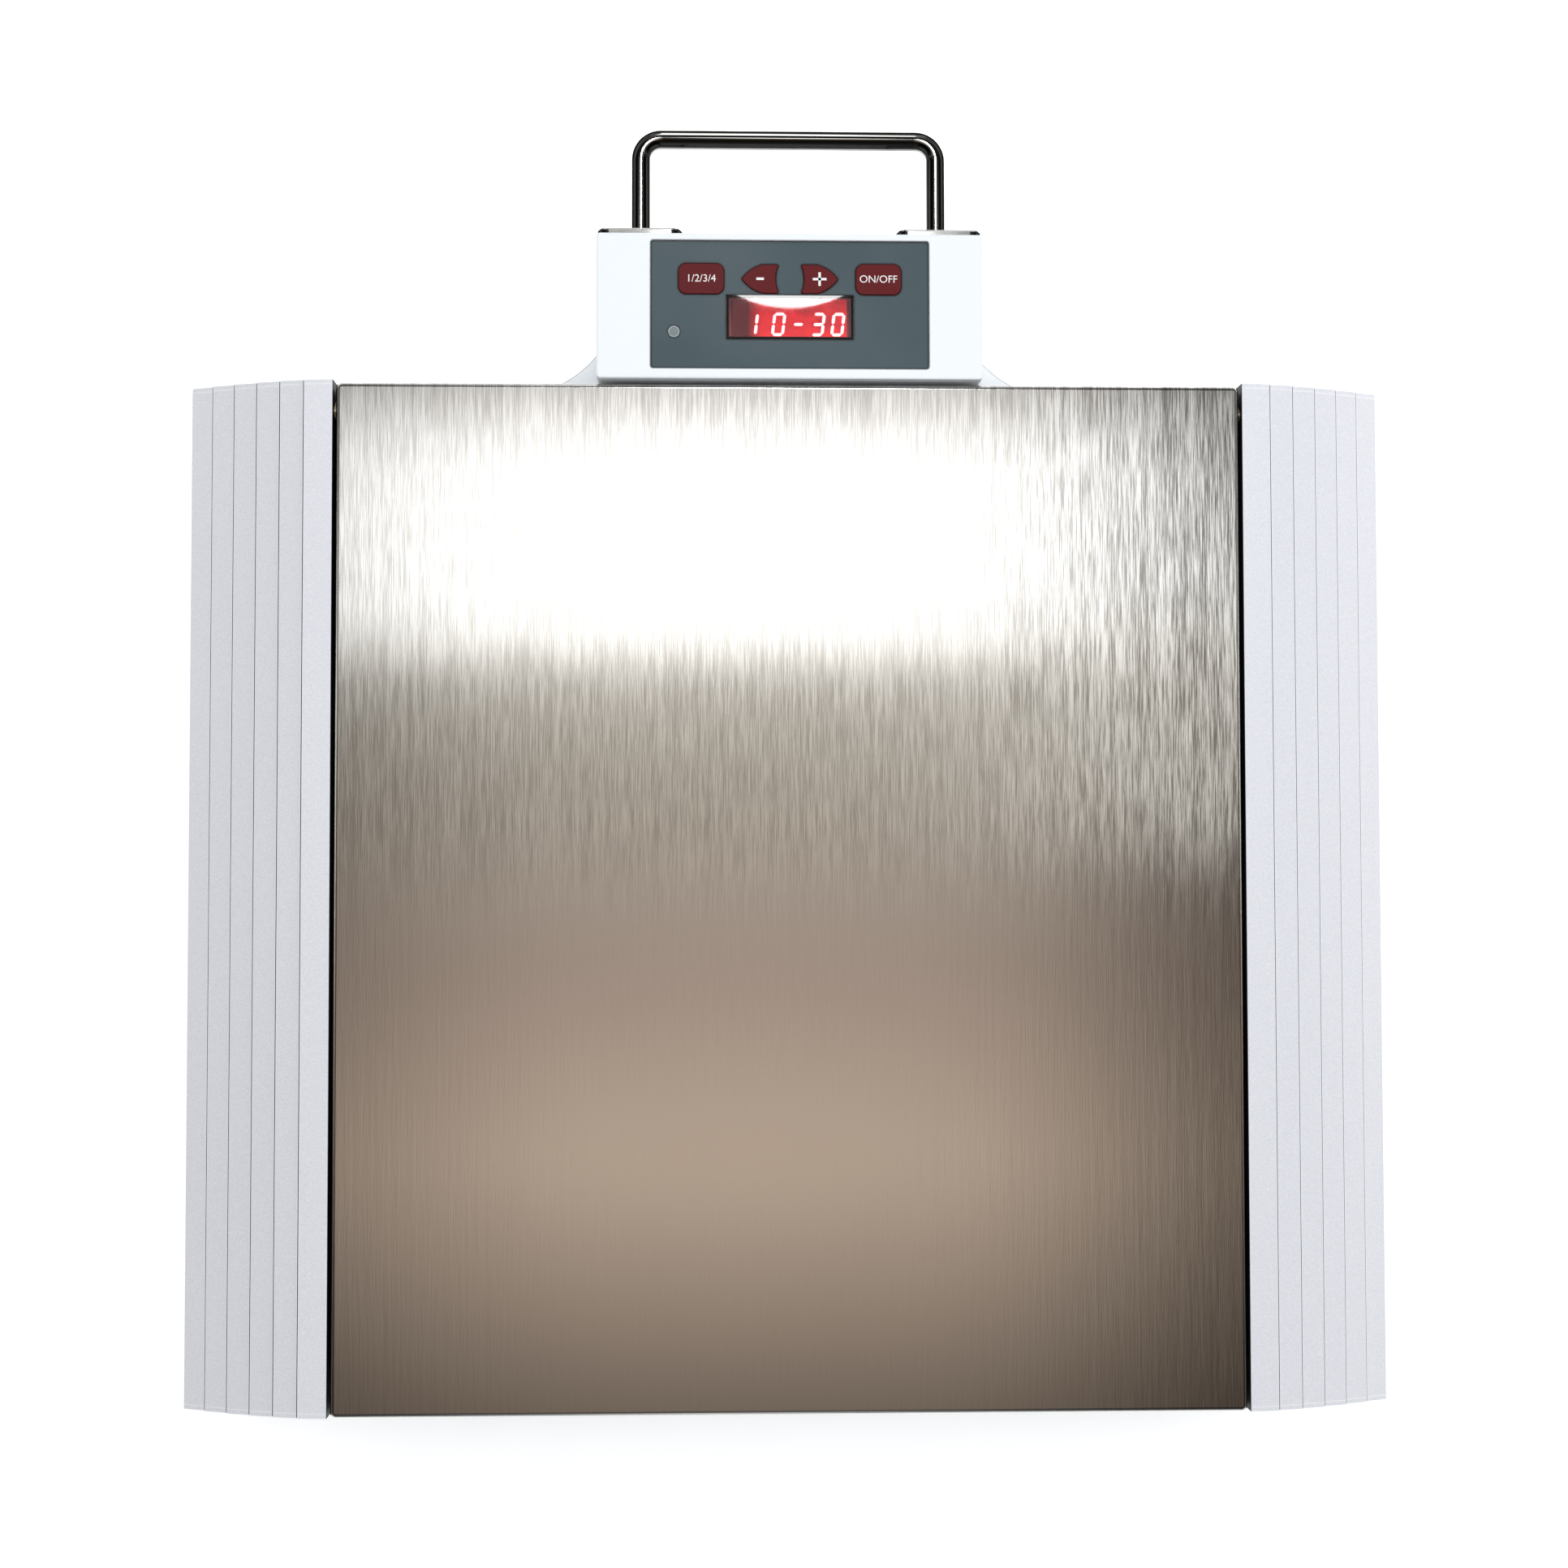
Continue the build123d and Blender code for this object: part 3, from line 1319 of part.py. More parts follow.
for piece, name in (
    (base_plate.part, "base_plate"),
    (rubber_feet.part, "rubber_feet"),
    (foot_screws.part, "foot_screws"),
    (side_profile_left.part, "side_profile_left"),
    (side_profile_right.part, "side_profile_right"),
    (profile_caps_front, "profile_caps_front"),
    (profile_caps_rear, "profile_caps_rear"),
    (cap_screws.part, "cap_screws"),
    (front_panel, "front_panel"),
    (rear_panel.part, "rear_panel"),
    (panel_screws.part, "panel_screws"),
    (support_rails.part, "support_rails"),
    (liner_tub.part, "liner_tub"),
    (base_insulation.part, "base_insulation"),
    (tub_gasket.part, "tub_gasket"),
    (lower_reflector.part, "lower_reflector"),
    (lower_heaters, "lower_heaters"),
    (lower_heater_caps, "lower_heater_caps"),
    (lower_heater_brackets, "lower_heater_brackets"),
    (rack_supports.part, "rack_supports"),
    (board_rack.part, "board_rack"),
    (thermocouple.part, "thermocouple"),
    (lid_bumpers.part, "lid_bumpers"),
    (hinge_pins.part, "hinge_pins"),
    (lid_skin.part, "lid_skin"),
    (lid_inner_pan.part, "lid_inner_pan"),
    (lid_insulation.part, "lid_insulation"),
    (lid_screws.part, "lid_screws"),
    (hinge_bushes.part, "hinge_bushes"),
    (upper_heaters, "upper_heaters"),
    (upper_heater_caps, "upper_heater_caps"),
    (upper_heater_brackets, "upper_heater_brackets"),
    (console_bracket.part, "console_bracket"),
    (console_housing.part, "console_housing"),
    (console_base_cover.part, "console_base_cover"),
    (console_screws.part, "console_screws"),
    (keypad_overlay.part, "keypad_overlay"),
    (display_window.part, "display_window"),
    (display_module.part, "display_module"),
    (status_lamp.part, "status_lamp"),
    (control_board.part, "control_board"),
    (board_standoffs.part, "board_standoffs"),
    (tact_switches.part, "tact_switches"),
    (carry_handle.part, "carry_handle"),
    (handle_rosettes.part, "handle_rosettes"),
    (handle_screws.part, "handle_screws"),
    (fan_frame.part, "fan_frame"),
    (fan_rotor.part, "fan_rotor"),
    (power_board.part, "power_board"),
    (power_components.part, "power_components"),
    (power_inlet.part, "power_inlet"),
    (inlet_contacts.part, "inlet_contacts"),
    (switch_frame.part, "switch_frame"),
    (switch_rocker.part, "switch_rocker"),
    (control_cable.part, "control_cable"),
    (cable_grommets.part, "cable_grommets"),
):
    write(piece, name)

for name in key_names:
    write(key_button(name), "key_" + name)
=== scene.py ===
"""The looks of a bench-top reflow oven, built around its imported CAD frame.

Metres. +X is right, +Y is to the rear, +Z is up, and the origin is the bottom centre of the whole object.
"""

import json
from math import radians

import bpy
from mathutils import Matrix, Vector


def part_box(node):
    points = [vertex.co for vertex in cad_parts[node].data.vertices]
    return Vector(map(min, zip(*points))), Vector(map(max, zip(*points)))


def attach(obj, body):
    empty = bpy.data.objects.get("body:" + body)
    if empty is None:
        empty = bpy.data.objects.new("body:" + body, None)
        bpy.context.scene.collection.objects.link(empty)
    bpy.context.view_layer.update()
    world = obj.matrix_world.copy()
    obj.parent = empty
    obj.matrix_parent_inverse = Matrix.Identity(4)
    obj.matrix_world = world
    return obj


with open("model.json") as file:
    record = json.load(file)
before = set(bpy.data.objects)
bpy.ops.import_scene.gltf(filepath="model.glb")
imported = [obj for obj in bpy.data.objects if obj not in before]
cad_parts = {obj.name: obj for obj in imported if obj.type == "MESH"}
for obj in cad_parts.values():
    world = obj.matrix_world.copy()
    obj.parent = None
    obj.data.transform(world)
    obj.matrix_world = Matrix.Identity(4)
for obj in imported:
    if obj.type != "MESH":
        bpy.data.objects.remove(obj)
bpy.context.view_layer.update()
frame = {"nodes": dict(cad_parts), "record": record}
MM = 0.001

# ---------------------------------------------------------------- material helpers


class Shader:
    """A material's node tree, built a node at a time."""

    def __init__(self, name, world=False):
        self.block = bpy.data.worlds.new(name) if world else bpy.data.materials.new(name)
        self.block.use_nodes = True
        self.tree = self.block.node_tree
        self.tree.nodes.clear()

    def node(self, kind, inputs=None, **settings):
        made = self.tree.nodes.new(kind)
        for key, value in settings.items():
            setattr(made, key, value)
        for key, value in (inputs or {}).items():
            self.feed(made.inputs[key], value)
        return made

    def feed(self, socket, value):
        if isinstance(value, bpy.types.NodeSocket):
            self.tree.links.new(value, socket)
        else:
            socket.default_value = value

    def math(self, operation, first, second=0.0, third=0.0):
        made = self.node("ShaderNodeMath", operation=operation)
        for socket, value in zip(made.inputs, (first, second, third)):
            self.feed(socket, value)
        return made.outputs[0]

    def place(self, scale, vector=None):
        """Object coordinates, or the vector given, stretched by a scale for each axis."""
        if vector is None:
            vector = self.node("ShaderNodeTexCoord").outputs["Object"]
        return self.node("ShaderNodeMapping", {"Vector": vector, "Scale": scale}).outputs[0]

    def noise(self, scale, detail=3.0, roughness=0.55, vector=None):
        """Noise over object coordinates; scale is grains to the metre along each axis."""
        stretched = self.place(scale, vector)
        inputs = {"Vector": stretched, "Scale": 1.0, "Detail": detail, "Roughness": roughness}
        return self.node("ShaderNodeTexNoise", inputs).outputs["Fac"]

    def axes(self, output="Object"):
        """The x, y and z of one output of the texture coordinates."""
        vector = self.node("ShaderNodeTexCoord").outputs[output]
        return self.node("ShaderNodeSeparateXYZ", {"Vector": vector}).outputs

    def absolute(self, value):
        return self.math("ABSOLUTE", value)

    def between(self, factor, first, second):
        """The first number where the factor is nought, the second where it is one."""
        return self.math("MULTIPLY_ADD", factor, self.math("SUBTRACT", second, first), first)

    def spread(self, value, low, high, start=0.3, end=0.7):
        """Map a value from the range start to end onto the range low to high."""
        inputs = {"Value": value, "From Min": start, "From Max": end, "To Min": low, "To Max": high}
        return self.node("ShaderNodeMapRange", inputs).outputs[0]

    def blend(self, factor, first, second):
        made = self.node("ShaderNodeMix", data_type="RGBA")
        self.feed(made.inputs[0], factor)
        self.feed(made.inputs[6], first)
        self.feed(made.inputs[7], second)
        return made.outputs[2]

    def bump(self, height, distance, normal=None):
        inputs = {"Height": height, "Distance": distance, "Strength": 1.0}
        if normal is not None:
            inputs["Normal"] = normal
        return self.node("ShaderNodeBump", inputs).outputs[0]

    def edges(self, radius):
        """One along every edge of the mesh, fading to nought a radius away."""
        rounded = self.node("ShaderNodeBevel", {"Radius": radius}, samples=6).outputs[0]
        flat = self.node("ShaderNodeNewGeometry").outputs["Normal"]
        turned = self.node("ShaderNodeVectorMath", {0: rounded, 1: flat}, operation="DOT_PRODUCT")
        return self.spread(turned.outputs["Value"], 1.0, 0.0, 0.80, 0.99)

    def openness(self, reach):
        """One on open faces, falling towards nought down in grooves and corners."""
        return self.node("ShaderNodeAmbientOcclusion", {"Distance": reach}, samples=6).outputs["AO"]

    def finish(self, **inputs):
        names = {key.replace("_", " ").title(): value for key, value in inputs.items()}
        names = {key.replace("Ior", "IOR"): value for key, value in names.items()}
        surface = self.node("ShaderNodeBsdfPrincipled", names)
        self.node("ShaderNodeOutputMaterial", {"Surface": surface.outputs[0]})
        return self.block


def tint(red, green, blue):
    return (red, green, blue, 1.0)


def grained(
    name,
    base,
    second_tone_and_highlight,
    grain,
    roughness,
    metallic=0.0,
    depth=0.02,
    patch=6.0,
    edge_shade=None,
    edge_shade_width=0.0,
    specular=0.5,
):
    """An even fine grain and slow changes of tone, and where asked a dark band of painted shade along the
    edges.

    grain and patch are spots to the metre; depth and edge_shade_width are in millimetres.
    """
    shader = Shader(name)
    fine = shader.noise((grain, grain, grain), detail=2.0)
    slow = shader.noise((patch, patch, patch), detail=4.0)
    tone = shader.math("MULTIPLY_ADD", fine, 0.5, shader.math("MULTIPLY", slow, 0.5))
    colour = shader.blend(shader.spread(tone, 0.0, 1.0), base, second_tone_and_highlight)
    # Painted shade: where asked, a dark band is laid along every edge of the mesh.
    if edge_shade is not None:
        colour = shader.blend(shader.edges(edge_shade_width * MM), colour, edge_shade)
    return shader.finish(
        base_color=colour,
        metallic=metallic,
        roughness=shader.spread(slow, roughness - 0.05, roughness + 0.05),
        specular_ior_level=specular,
        normal=shader.bump(fine, depth * MM),
    )


def brushed(name, base, second_tone_and_highlight, roughness):
    """Steel with fine straight scratches from left to right."""
    shader = Shader(name)
    fine = shader.noise((14.0, 2600.0, 2600.0), detail=4.0, roughness=0.7)
    wide = shader.noise((3.0, 150.0, 150.0), detail=5.0, roughness=0.65)
    tone = shader.math("MULTIPLY_ADD", fine, 0.45, shader.math("MULTIPLY", wide, 0.55))
    tangent = shader.node("ShaderNodeTangent", direction_type="RADIAL", axis="X")
    return shader.finish(
        base_color=shader.blend(shader.spread(tone, 0.0, 1.0, 0.35, 0.65), base, second_tone_and_highlight),
        metallic=1.0,
        roughness=shader.spread(tone, roughness - 0.04, roughness + 0.05),
        anisotropic=0.4,
        tangent=tangent.outputs[0],
        normal=shader.bump(fine, 0.006 * MM),
    )


def glassy(name, colour, roughness, opacity):
    """A clear pane or tube: part of the light passes straight through, the rest is glossy."""
    shader = Shader(name)
    streak = shader.noise((40.0, 40.0, 40.0), detail=3.0)
    paler = tint(*(0.85 * value + 0.02 for value in colour[:3]))
    return shader.finish(
        base_color=shader.blend(shader.spread(streak, 0.0, 1.0), colour, paler),
        roughness=shader.spread(streak, roughness, 1.5 * roughness),
        alpha=opacity,
        specular_ior_level=0.5,
        normal=shader.bump(streak, 0.0006 * MM),
    )


# ---------------------------------------------------------------- finishes, one for each material slot


def lid_steel():
    """Brushed stainless: fine scratches from front to rear, strongest at the rear and the right."""
    shader = Shader("lid_steel")
    axes = shader.axes()
    normal = shader.axes("Normal")
    across = shader.math("MULTIPLY_ADD", axes[2], shader.absolute(normal[0]), axes[0])
    along = shader.math("ADD", axes[1], axes[2])
    unfolded = shader.node("ShaderNodeCombineXYZ", {"X": across, "Y": along}).outputs[0]
    fine = shader.noise((1900.0, 55.0, 1.0), detail=3.0, roughness=0.6, vector=unfolded)
    streak = shader.noise((330.0, 9.0, 1.0), detail=4.0, roughness=0.6, vector=unfolded)
    cloud = shader.noise((12.0, 6.0, 12.0), detail=4.0)
    tone = shader.math("MULTIPLY_ADD", fine, 0.5, shader.math("MULTIPLY", streak, 0.3))
    tone = shader.math("MULTIPLY_ADD", cloud, 0.2, tone)
    low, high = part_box("lid_skin")
    width = high.x - low.x
    length = high.y - low.y
    # The scratches are drawn in strong contrast towards the rear and the right, and fade to an even grey
    # towards the front.
    second_tone_and_highlight = shader.spread(axes[1], 0.10, 1.0, low.y + 0.47 * length, low.y + 0.57 * length)
    towards_right = shader.spread(axes[0], 0.38, 1.0, high.x - 0.32 * width, high.x - 0.05 * width)
    mixed = shader.math("MULTIPLY_ADD", streak, 0.35, shader.math("MULTIPLY", fine, 0.65))
    scratch = shader.spread(mixed, 0.0, 1.0, 0.42, 0.58)
    lines = shader.blend(scratch, tint(0.25, 0.237, 0.215), tint(0.92, 0.915, 0.90))
    colour = shader.blend(shader.math("MULTIPLY", second_tone_and_highlight, towards_right), tint(0.63, 0.62, 0.60), lines)
    tangent = shader.node("ShaderNodeTangent", direction_type="RADIAL", axis="Y")
    return shader.finish(
        base_color=colour,
        metallic=1.0,
        roughness=shader.spread(tone, 0.09, 0.13, 0.38, 0.62),
        anisotropic=0.8,
        tangent=tangent.outputs[0],
        normal=shader.bump(fine, 0.010 * MM, normal=shader.bump(streak, 0.016 * MM)),
    )


def profile_metal():
    """Clear anodised aluminium with a fine orange peel, with painted shade on the flanks beside the lid
    and down in its grooves, and painted highlights along its ridges.
    """
    shader = Shader("profile_metal")
    peel = shader.noise((1300.0, 1300.0, 1300.0), detail=2.0, roughness=0.5)
    dust = shader.noise((3200.0, 3200.0, 3200.0), detail=1.0)
    slow = shader.noise((5.0, 5.0, 5.0), detail=3.0)
    tone = shader.math("MULTIPLY_ADD", peel, 0.5, shader.math("MULTIPLY", dust, 0.5))
    grain = shader.blend(shader.spread(tone, 0.0, 1.0), tint(0.72, 0.72, 0.76), tint(0.88, 0.88, 0.915))
    sideways = shader.absolute(shader.axes()[0])
    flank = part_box("side_profile_right")[0].x
    # Painted shade: the flanks that face the gaps beside the lid are coloured near black.
    clear_of_gap_shade = shader.spread(sideways, 0.0, 1.0, flank + 0.05 * MM, flank + 0.25 * MM)
    open_air = shader.openness(1.6 * MM)
    ridge = shader.spread(open_air, 0.0, 1.0, 0.72, 0.86)
    # Painted highlight: the ridges of the steps are coloured paler along their edges.
    second_tone_and_highlight = shader.math("MULTIPLY", shader.edges(0.8 * MM), ridge)
    grain = shader.blend(second_tone_and_highlight, grain, tint(0.95, 0.95, 0.96))
    # Painted shade: the grooves and the feet of the steps are coloured dark.
    grain = shader.blend(shader.spread(open_air, 0.0, 1.0, 0.25, 0.62), tint(0.10, 0.10, 0.11), grain)
    return shader.finish(
        base_color=shader.blend(clear_of_gap_shade, tint(0.015, 0.015, 0.016), grain),
        metallic=0.25,
        roughness=shader.spread(slow, 0.48, 0.58),
        normal=shader.bump(peel, 0.03 * MM),
    )


def tube_chrome():
    """Polished steel: a round bar and its legs, with a painted bright stripe and painted dark shoulders
    standing in for their reflections, and flat plates under it with painted dark ends.
    """
    shader = Shader("handle_steel")
    haze = shader.noise((60.0, 60.0, 60.0), detail=3.0)
    axes = shader.axes()
    normal = shader.axes("Normal")
    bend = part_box("carry_handle")[1].x
    plate_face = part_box("handle_rosettes")[1].y

    # Painted reflection: the bar and legs are coloured bright along one stripe and where they face
    # sideways or down, and near black on the shoulders between.
    bar_rise = shader.spread(normal[1], 0.0, 1.0, 0.22, 0.30)
    bar_fall = shader.spread(normal[1], 1.0, 0.0, 0.46, 0.54)
    bar_painted_highlight = shader.math("MULTIPLY", bar_rise, bar_fall)
    leg_painted_highlight = shader.spread(normal[2], 0.0, 1.0, 0.93, 0.96)
    on_legs = shader.spread(shader.absolute(axes[0]), 0.0, 1.0, bend - 14.0 * MM, bend - 8.0 * MM)
    underside = shader.spread(normal[2], 1.0, 0.0, 0.20, 0.34)
    tube = shader.math("MAXIMUM", shader.between(on_legs, bar_painted_highlight, leg_painted_highlight), underside)

    # Painted reflection: the plates are coloured near black at their ends and darker on their top and
    # bottom faces.
    plate_ends = shader.spread(shader.absolute(normal[0]), 1.0, 0.0, 0.25, 0.45)
    plate_edge = shader.spread(shader.absolute(normal[2]), 1.0, 0.45, 0.60, 0.80)
    plate = shader.math("MULTIPLY", plate_ends, plate_edge)
    on_plate = shader.spread(axes[1], 1.0, 0.0, plate_face - 0.05 * MM, plate_face + 0.05 * MM)

    bright = shader.blend(shader.spread(haze, 0.0, 1.0), tint(0.68, 0.675, 0.66), tint(0.73, 0.725, 0.71))
    return shader.finish(
        base_color=shader.blend(shader.between(on_plate, tube, plate), tint(0.038, 0.037, 0.035), bright),
        metallic=1.0,
        roughness=shader.spread(haze, 0.07, 0.10),
        specular_tint=tint(0.15, 0.15, 0.15),
        normal=shader.bump(haze, 0.002 * MM),
    )


def window_pane():
    """A red-tinted glass pane, printed black where it rests on its ledge."""
    low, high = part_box("display_window")
    middle = (low + high) / 2
    shader = Shader("window_smoke")
    axes = shader.axes()
    along = shader.absolute(shader.math("SUBTRACT", axes[0], middle.x))
    across = shader.absolute(shader.math("SUBTRACT", axes[1], middle.y))
    from_end = shader.math("SUBTRACT", (high.x - low.x) / 2, along)
    from_side = shader.math("SUBTRACT", (high.y - low.y) / 2, across)
    inset = shader.math("MINIMUM", from_end, from_side)
    ledge = 1.2 * MM
    clear = shader.spread(inset, 0.0, 1.0, ledge - 0.05 * MM, ledge + 0.05 * MM)
    haze = shader.noise((40.0, 40.0, 40.0), detail=3.0)
    glass = shader.blend(shader.spread(haze, 0.0, 1.0), tint(0.95, 0.42, 0.44), tint(0.90, 0.34, 0.36))
    return shader.finish(
        base_color=shader.blend(clear, tint(0.006, 0.005, 0.005), glass),
        roughness=shader.spread(haze, 0.01, 0.02),
        transmission_weight=clear,
        ior=1.45,
        normal=shader.bump(haze, 0.0004 * MM),
    )


def lamp_face():
    """A clear lamp: a pale ring of painted highlight round a small dark middle."""
    low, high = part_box("status_lamp")
    middle = (low + high) / 2
    radius = (high.x - low.x) / 2
    shader = Shader("lamp_clear")
    speck = shader.noise((900.0, 900.0, 900.0), detail=3.0)
    coordinates = shader.node("ShaderNodeTexCoord").outputs["Object"]
    moved = {0: coordinates, 1: (middle.x, middle.y, 0.0)}
    across = shader.node("ShaderNodeVectorMath", moved, operation="SUBTRACT").outputs[0]
    level = {0: across, 1: (1.0, 1.0, 0.0)}
    flat = shader.node("ShaderNodeVectorMath", level, operation="MULTIPLY").outputs[0]
    reach = shader.node("ShaderNodeVectorMath", {0: flat}, operation="LENGTH").outputs["Value"]
    # Painted highlight: a pale ring near the rim of the lamp.
    from_ring = shader.absolute(shader.math("SUBTRACT", reach, 0.80 * radius))
    on_ring = shader.spread(from_ring, 1.0, 0.0, 0.10 * radius, 0.20 * radius)
    pale = shader.blend(shader.spread(speck, 0.0, 1.0), tint(0.17, 0.20, 0.21), tint(0.26, 0.29, 0.30))
    return shader.finish(
        base_color=shader.blend(on_ring, tint(0.085, 0.115, 0.125), pale),
        roughness=shader.spread(speck, 0.15, 0.22),
        normal=shader.bump(speck, 0.002 * MM),
    )


def display_face():
    """A black display face with red light round the lit digits, fading out at the left end."""
    low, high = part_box("display_module")
    shader = Shader("display_black")
    axes = shader.axes()
    span = high.x - low.x
    side = shader.spread(axes[0], 0.0, 1.0, low.x + 0.13 * span, low.x + 0.25 * span)
    depth = shader.spread(axes[1], 1.0, 0.55, low.y, high.y)
    cloud = shader.spread(shader.noise((90.0, 130.0, 90.0), detail=3.0), 0.55, 1.15)
    glow = shader.math("MULTIPLY", shader.math("MULTIPLY", side, depth), cloud)
    return shader.finish(
        base_color=tint(0.02, 0.004, 0.004),
        roughness=0.35,
        specular_ior_level=0.15,
        emission_color=tint(1.0, 0.035, 0.055),
        emission_strength=shader.math("MULTIPLY", glow, 0.95),
    )


FINISHES = {
    "lid_steel": lid_steel(),
    "profile_metal": profile_metal(),
    "handle_steel": tube_chrome(),
    "window_smoke": window_pane(),
    "lamp_clear": lamp_face(),
    "display_black": display_face(),
    "chamber_steel": brushed(
        "chamber_steel",
        tint(0.60, 0.60, 0.59),
        tint(0.72, 0.72, 0.71),
        roughness=0.24,
    ),
    "quartz": glassy("quartz", tint(0.88, 0.90, 0.91), roughness=0.18, opacity=0.45),
    "console_paint": grained(
        "console_paint",
        tint(0.83, 0.855, 0.875),
        tint(0.89, 0.915, 0.935),
        grain=1500.0,
        roughness=0.45,
        depth=0.014,
        patch=20.0,
        # Painted shade: a dark band round the edges of the console.
        edge_shade=tint(0.10, 0.10, 0.11),
        edge_shade_width=1.0,
    ),
    "overlay_film": grained(
        "overlay_film",
        tint(0.038, 0.065, 0.076),
        tint(0.048, 0.079, 0.091),
        grain=1800.0,
        roughness=0.42,
        depth=0.008,
        patch=20.0,
        # Painted shade: a near-black band round the edges of the overlay, where it sits in its recess.
        edge_shade=tint(0.002, 0.003, 0.004),
        edge_shade_width=1.6,
        specular=0.35,
    ),
    "key_red": grained(
        "key_red",
        tint(0.098, 0.008, 0.010),
        tint(0.130, 0.014, 0.016),
        grain=1800.0,
        roughness=0.40,
        depth=0.008,
        patch=20.0,
        # Painted shade: a dark red band round the edges of the keys.
        edge_shade=tint(0.030, 0.006, 0.007),
        edge_shade_width=0.6,
        specular=0.08,
    ),
}

# The plain grained finishes: two tones, grain and roughness, then where they differ from the usual
# metallic, depth and patch.
PLAIN_FINISHES = {
    "case_paint": (tint(0.50, 0.51, 0.54), tint(0.56, 0.57, 0.60), 1500.0, 0.48),
    "black_plastic": (tint(0.016, 0.016, 0.017), tint(0.026, 0.026, 0.028), 1400.0, 0.45),
    "rubber_black": (tint(0.018, 0.018, 0.018), tint(0.034, 0.033, 0.032), 900.0, 0.75),
    "ceramic_white": (tint(0.74, 0.72, 0.66), tint(0.84, 0.82, 0.77), 800.0, 0.7, 0.0, 0.03),
    "seal_rope": (tint(0.16, 0.16, 0.155), tint(0.34, 0.34, 0.33), 420.0, 0.9, 0.0, 0.3),
    "mineral_wool": (tint(0.60, 0.57, 0.49), tint(0.80, 0.77, 0.70), 260.0, 0.95, 0.0, 0.4),
    "circuit_board": (tint(0.010, 0.085, 0.035), tint(0.020, 0.130, 0.055), 420.0, 0.30, 0.0, 0.01, 90.0),
    "plated_steel": (tint(0.52, 0.52, 0.50), tint(0.64, 0.63, 0.60), 700.0, 0.32, 1.0, 0.004),
    "brass_contact": (tint(0.62, 0.48, 0.24), tint(0.74, 0.60, 0.34), 500.0, 0.28, 1.0, 0.004),
}
for name, values in PLAIN_FINISHES.items():
    FINISHES[name] = grained(name, *values)

for row in frame["record"]["subparts"]:
    mesh = frame["nodes"][row["node"]].data
    mesh.materials.clear()
    mesh.materials.append(FINISHES[row["material_slot"]])

# ---------------------------------------------------------------- pieces


def piece(name, mesh, body, material):
    """A mesh that rides on a body, with its finish."""
    made = bpy.data.objects.new(name, mesh)
    bpy.context.scene.collection.objects.link(made)
    made.data.materials.append(material)
    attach(made, body)


def plates(name, outlines, bottom, top):
    """A mesh of level plates between two heights, from outlines that run anticlockwise from above."""
    points = []
    faces = []
    for outline in outlines:
        low = [len(points) + corner for corner in range(len(outline))]
        high = [corner + len(outline) for corner in low]
        points += [(x, y, bottom) for x, y in outline]
        points += [(x, y, top) for x, y in outline]
        faces += [low[::-1], high]
        faces += list(zip(low, low[1:] + low[:1], high[1:] + high[:1], high))
    mesh = bpy.data.meshes.new(name)
    mesh.from_pydata(points, [], faces)
    return mesh


def lit(name, colour, strength):
    """A lit segment whose light is slightly uneven."""
    shader = Shader(name)
    ripple = shader.spread(shader.noise((700.0, 700.0, 700.0), detail=2.0), 0.92, 1.08)
    return shader.finish(
        base_color=colour,
        roughness=0.4,
        emission_color=colour,
        emission_strength=shader.math("MULTIPLY", ripple, strength),
    )


def lettering(name, text, size, centre, top, body, material):
    """Flat printed characters, centred on a point, their faces at the given height."""
    curve = bpy.data.curves.new(name, "FONT")
    curve.body = text
    curve.size = size
    curve.align_x = "CENTER"
    curve.align_y = "CENTER"
    curve.extrude = PRINT_THICKNESS / 2
    holder = bpy.data.objects.new(name + "_text", curve)
    bpy.context.scene.collection.objects.link(holder)
    bpy.context.view_layer.update()
    evaluated = holder.evaluated_get(bpy.context.evaluated_depsgraph_get())
    mesh = bpy.data.meshes.new_from_object(evaluated)
    bpy.data.objects.remove(holder)
    bpy.data.curves.remove(curve)
    mesh.transform(Matrix.Translation((centre[0], centre[1], top - PRINT_THICKNESS / 2)))
    mesh.materials.clear()
    piece(name, mesh, body, material)


SEGMENT_WIDTH = 1.3 * MM
SEGMENT_GAP = 0.12 * MM
DIGIT_WIDTH = 5.7 * MM
DIGIT_HEIGHT = 10.4 * MM
DIGIT_SLANT = 0.12
DIGIT_PITCH = 8.66 * MM
DIGIT_THICKNESS = 0.1 * MM
SEGMENTS = {"0": "abcdef", "1": "hi", "3": "abcdg", "-": "g"}
DIGITS = "10-30"
DIGITS_RIGHT = 3.8 * MM
DIGITS_FORWARD = 2.6 * MM
PRINT_THICKNESS = 0.05 * MM
SIGN_WIDTH = 1.1 * MM
LEGEND_SIZE = 4.6 * MM


